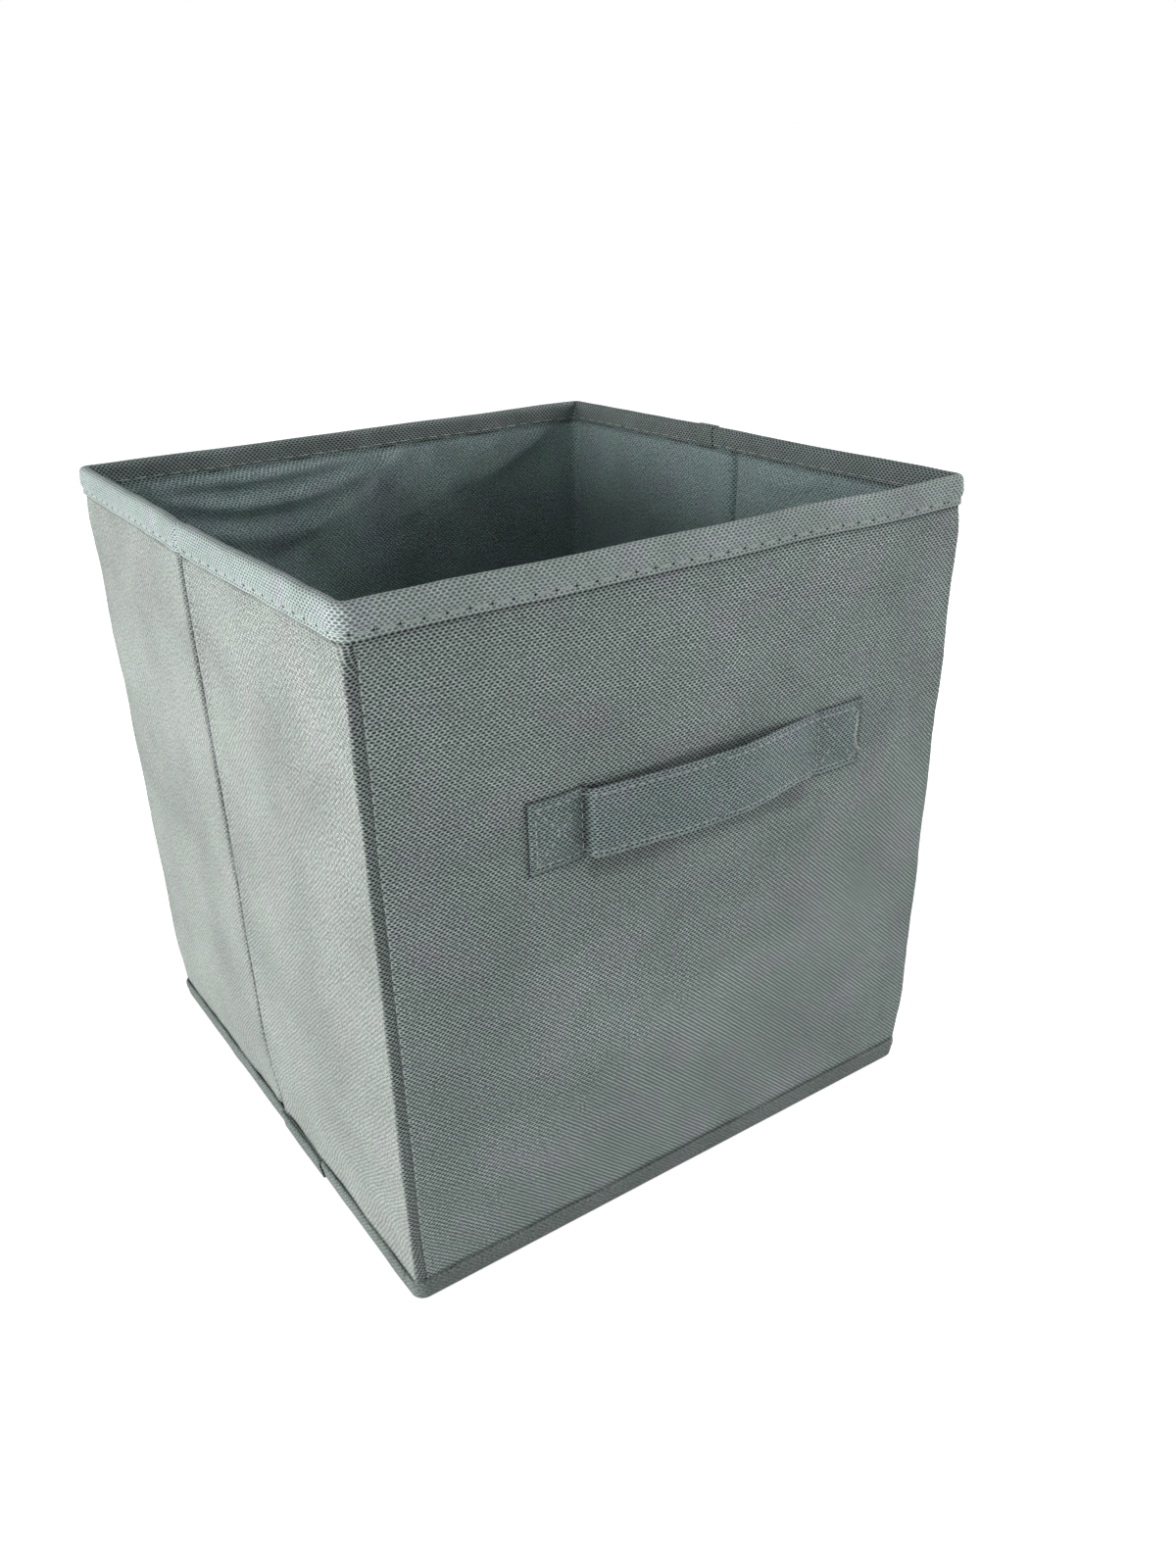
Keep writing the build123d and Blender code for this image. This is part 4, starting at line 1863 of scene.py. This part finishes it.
@dataclass(frozen=True)
class Softbox:
    """Square soft light that looks at the middle of the bin.

    Attributes:
        name: Name of the light.
        place: Place in metres.
        side: Side of the light in metres.
        power: Power in watts.
    """

    name: str
    place: tuple[float, float, float]
    side: float
    power: float

    def build(self) -> None:
        """Build the light."""
        data = bpy.data.lights.new(self.name, "AREA")
        data.size = self.side
        data.energy = self.power
        light = bpy.data.objects.new(self.name, data)
        light.location = self.place
        aim = Vector((0.0, 0.0, 0.15)) - Vector(self.place)
        light.rotation_euler = aim.to_track_quat("-Z", "Y").to_euler()
        bpy.context.scene.collection.objects.link(light)


@dataclass(frozen=True)
class Studio:
    """Pale floor, white surroundings and soft lights from the left, the front and the right.

    Attributes:
        lights: The lights.
        ambient: Strength of the light from all round.
        glow: How white the floor near the bin looks to the camera by itself. Further off it is white.
    """

    lights: tuple[Softbox, ...] = (
        Softbox("left_near", (-1.7, -0.6, 0.15), 0.9, 24.7),
        Softbox("left_far", (-1.7, 0.6, 0.15), 0.9, 24.6),
        Softbox("left_mid", (-1.9, 0.2, 0.75), 0.9, 3.4),
        Softbox("front_low", (0.3, -2.0, 0.15), 0.9, 1.6),
        Softbox("right", (1.8, -0.3, 0.8), 0.9, 34.5),
    )
    ambient: float = 0.165
    glow: float = 0.8

    def build(self) -> None:
        """Build the lights, the floor and the surroundings."""
        for light in self.lights:
            light.build()
        self.floor()
        world = bpy.data.worlds.new("white surroundings")
        world.use_nodes = True
        tree = world.node_tree
        seen = self.seen_rays(tree)
        strength = add_node(
            tree, "ShaderNodeMapRange", {"Value": seen, "To Min": self.ambient, "To Max": 1.0}
        )
        sky = tree.nodes["Background"]
        sky.inputs["Color"].default_value = (1.0, 1.0, 1.0, 1.0)
        tree.links.new(strength.outputs[0], sky.inputs["Strength"])
        bpy.context.scene.world = world
        bpy.context.scene.view_settings.view_transform = "Standard"

    def seen_rays(self, tree: bpy.types.NodeTree) -> bpy.types.NodeSocket:
        """Add the nodes that are 1 for camera, glossy and transmission rays.

        Args:
            tree: Node tree.

        Returns:
            The socket with the sum, clipped to 1.
        """
        rays = add_node(tree, "ShaderNodeLightPath")
        direct = add_node(
            tree,
            "ShaderNodeMath",
            {0: rays.outputs["Is Camera Ray"], 1: rays.outputs["Is Glossy Ray"]},
            operation="MAXIMUM",
        )
        seen = add_node(
            tree,
            "ShaderNodeMath",
            {0: direct.outputs[0], 1: rays.outputs["Is Transmission Ray"]},
            operation="MAXIMUM",
        )
        return seen.outputs[0]

    def floor(self) -> None:
        """Build the pale floor, which is mostly white by itself where it is seen and keeps a faint shadow."""
        side = 4.0
        z = -0.0004
        corners = [[-side, -side, z], [side, -side, z], [side, side, z], [-side, side, z]]
        mesh = bpy.data.meshes.new("pale_floor")
        mesh.from_pydata(corners, [], [[0, 1, 2, 3]])
        made = bpy.data.materials.new("pale floor")
        made.use_nodes = True
        tree = made.node_tree
        shader = tree.nodes["Principled BSDF"]
        shader.inputs["Base Color"].default_value = linear("#D8D8D8")
        shader.inputs["Roughness"].default_value = 0.9
        shader.inputs["Specular IOR Level"].default_value = 0.0
        shader.inputs["Emission Color"].default_value = (1.0, 1.0, 1.0, 1.0)
        place = add_node(tree, "ShaderNodeTexCoord")
        away = add_node(tree, "ShaderNodeVectorMath", {0: place.outputs["Object"]}, operation="LENGTH")
        level = add_node(
            tree,
            "ShaderNodeMapRange",
            {
                "Value": away.outputs["Value"],
                "From Min": 0.2,
                "From Max": 0.7,
                "To Min": self.glow,
                "To Max": 1.0,
            },
            interpolation_type="SMOOTHSTEP",
        )
        glow = add_node(
            tree, "ShaderNodeMath", {0: self.seen_rays(tree), 1: level.outputs[0]}, operation="MULTIPLY"
        )
        tree.links.new(glow.outputs[0], shader.inputs["Emission Strength"])
        mesh.materials.append(made)
        obj = bpy.data.objects.new("pale_floor", mesh)
        bpy.context.scene.collection.objects.link(obj)


def main() -> None:
    """Build the bin in order, then the camera and the studio."""
    logging.basicConfig(level=logging.INFO, format="%(name)s: %(message)s")
    sizes = BinSizes.read()
    strap = StrapHandle.read(sizes)
    stance = strap.stance
    folded = 32.0 / (2.0 * sizes.half_y)
    ends = tuple((span, (strap.low, strap.high)) for span in (strap.left, strap.right))
    OuterCover(sizes, stance, ends).build()
    Lining(sizes, stance).build()
    WallBoards(stance).build()
    RimBinding(sizes, stance).build()
    Hem(sizes, stance, folded).build()
    FloorCloth(sizes, folded).build()
    BaseInsert().build()
    strap.build()
    strap.loose_end()
    PhotoCamera().build()
    Studio().build()


if __name__ == "__main__":
    main()
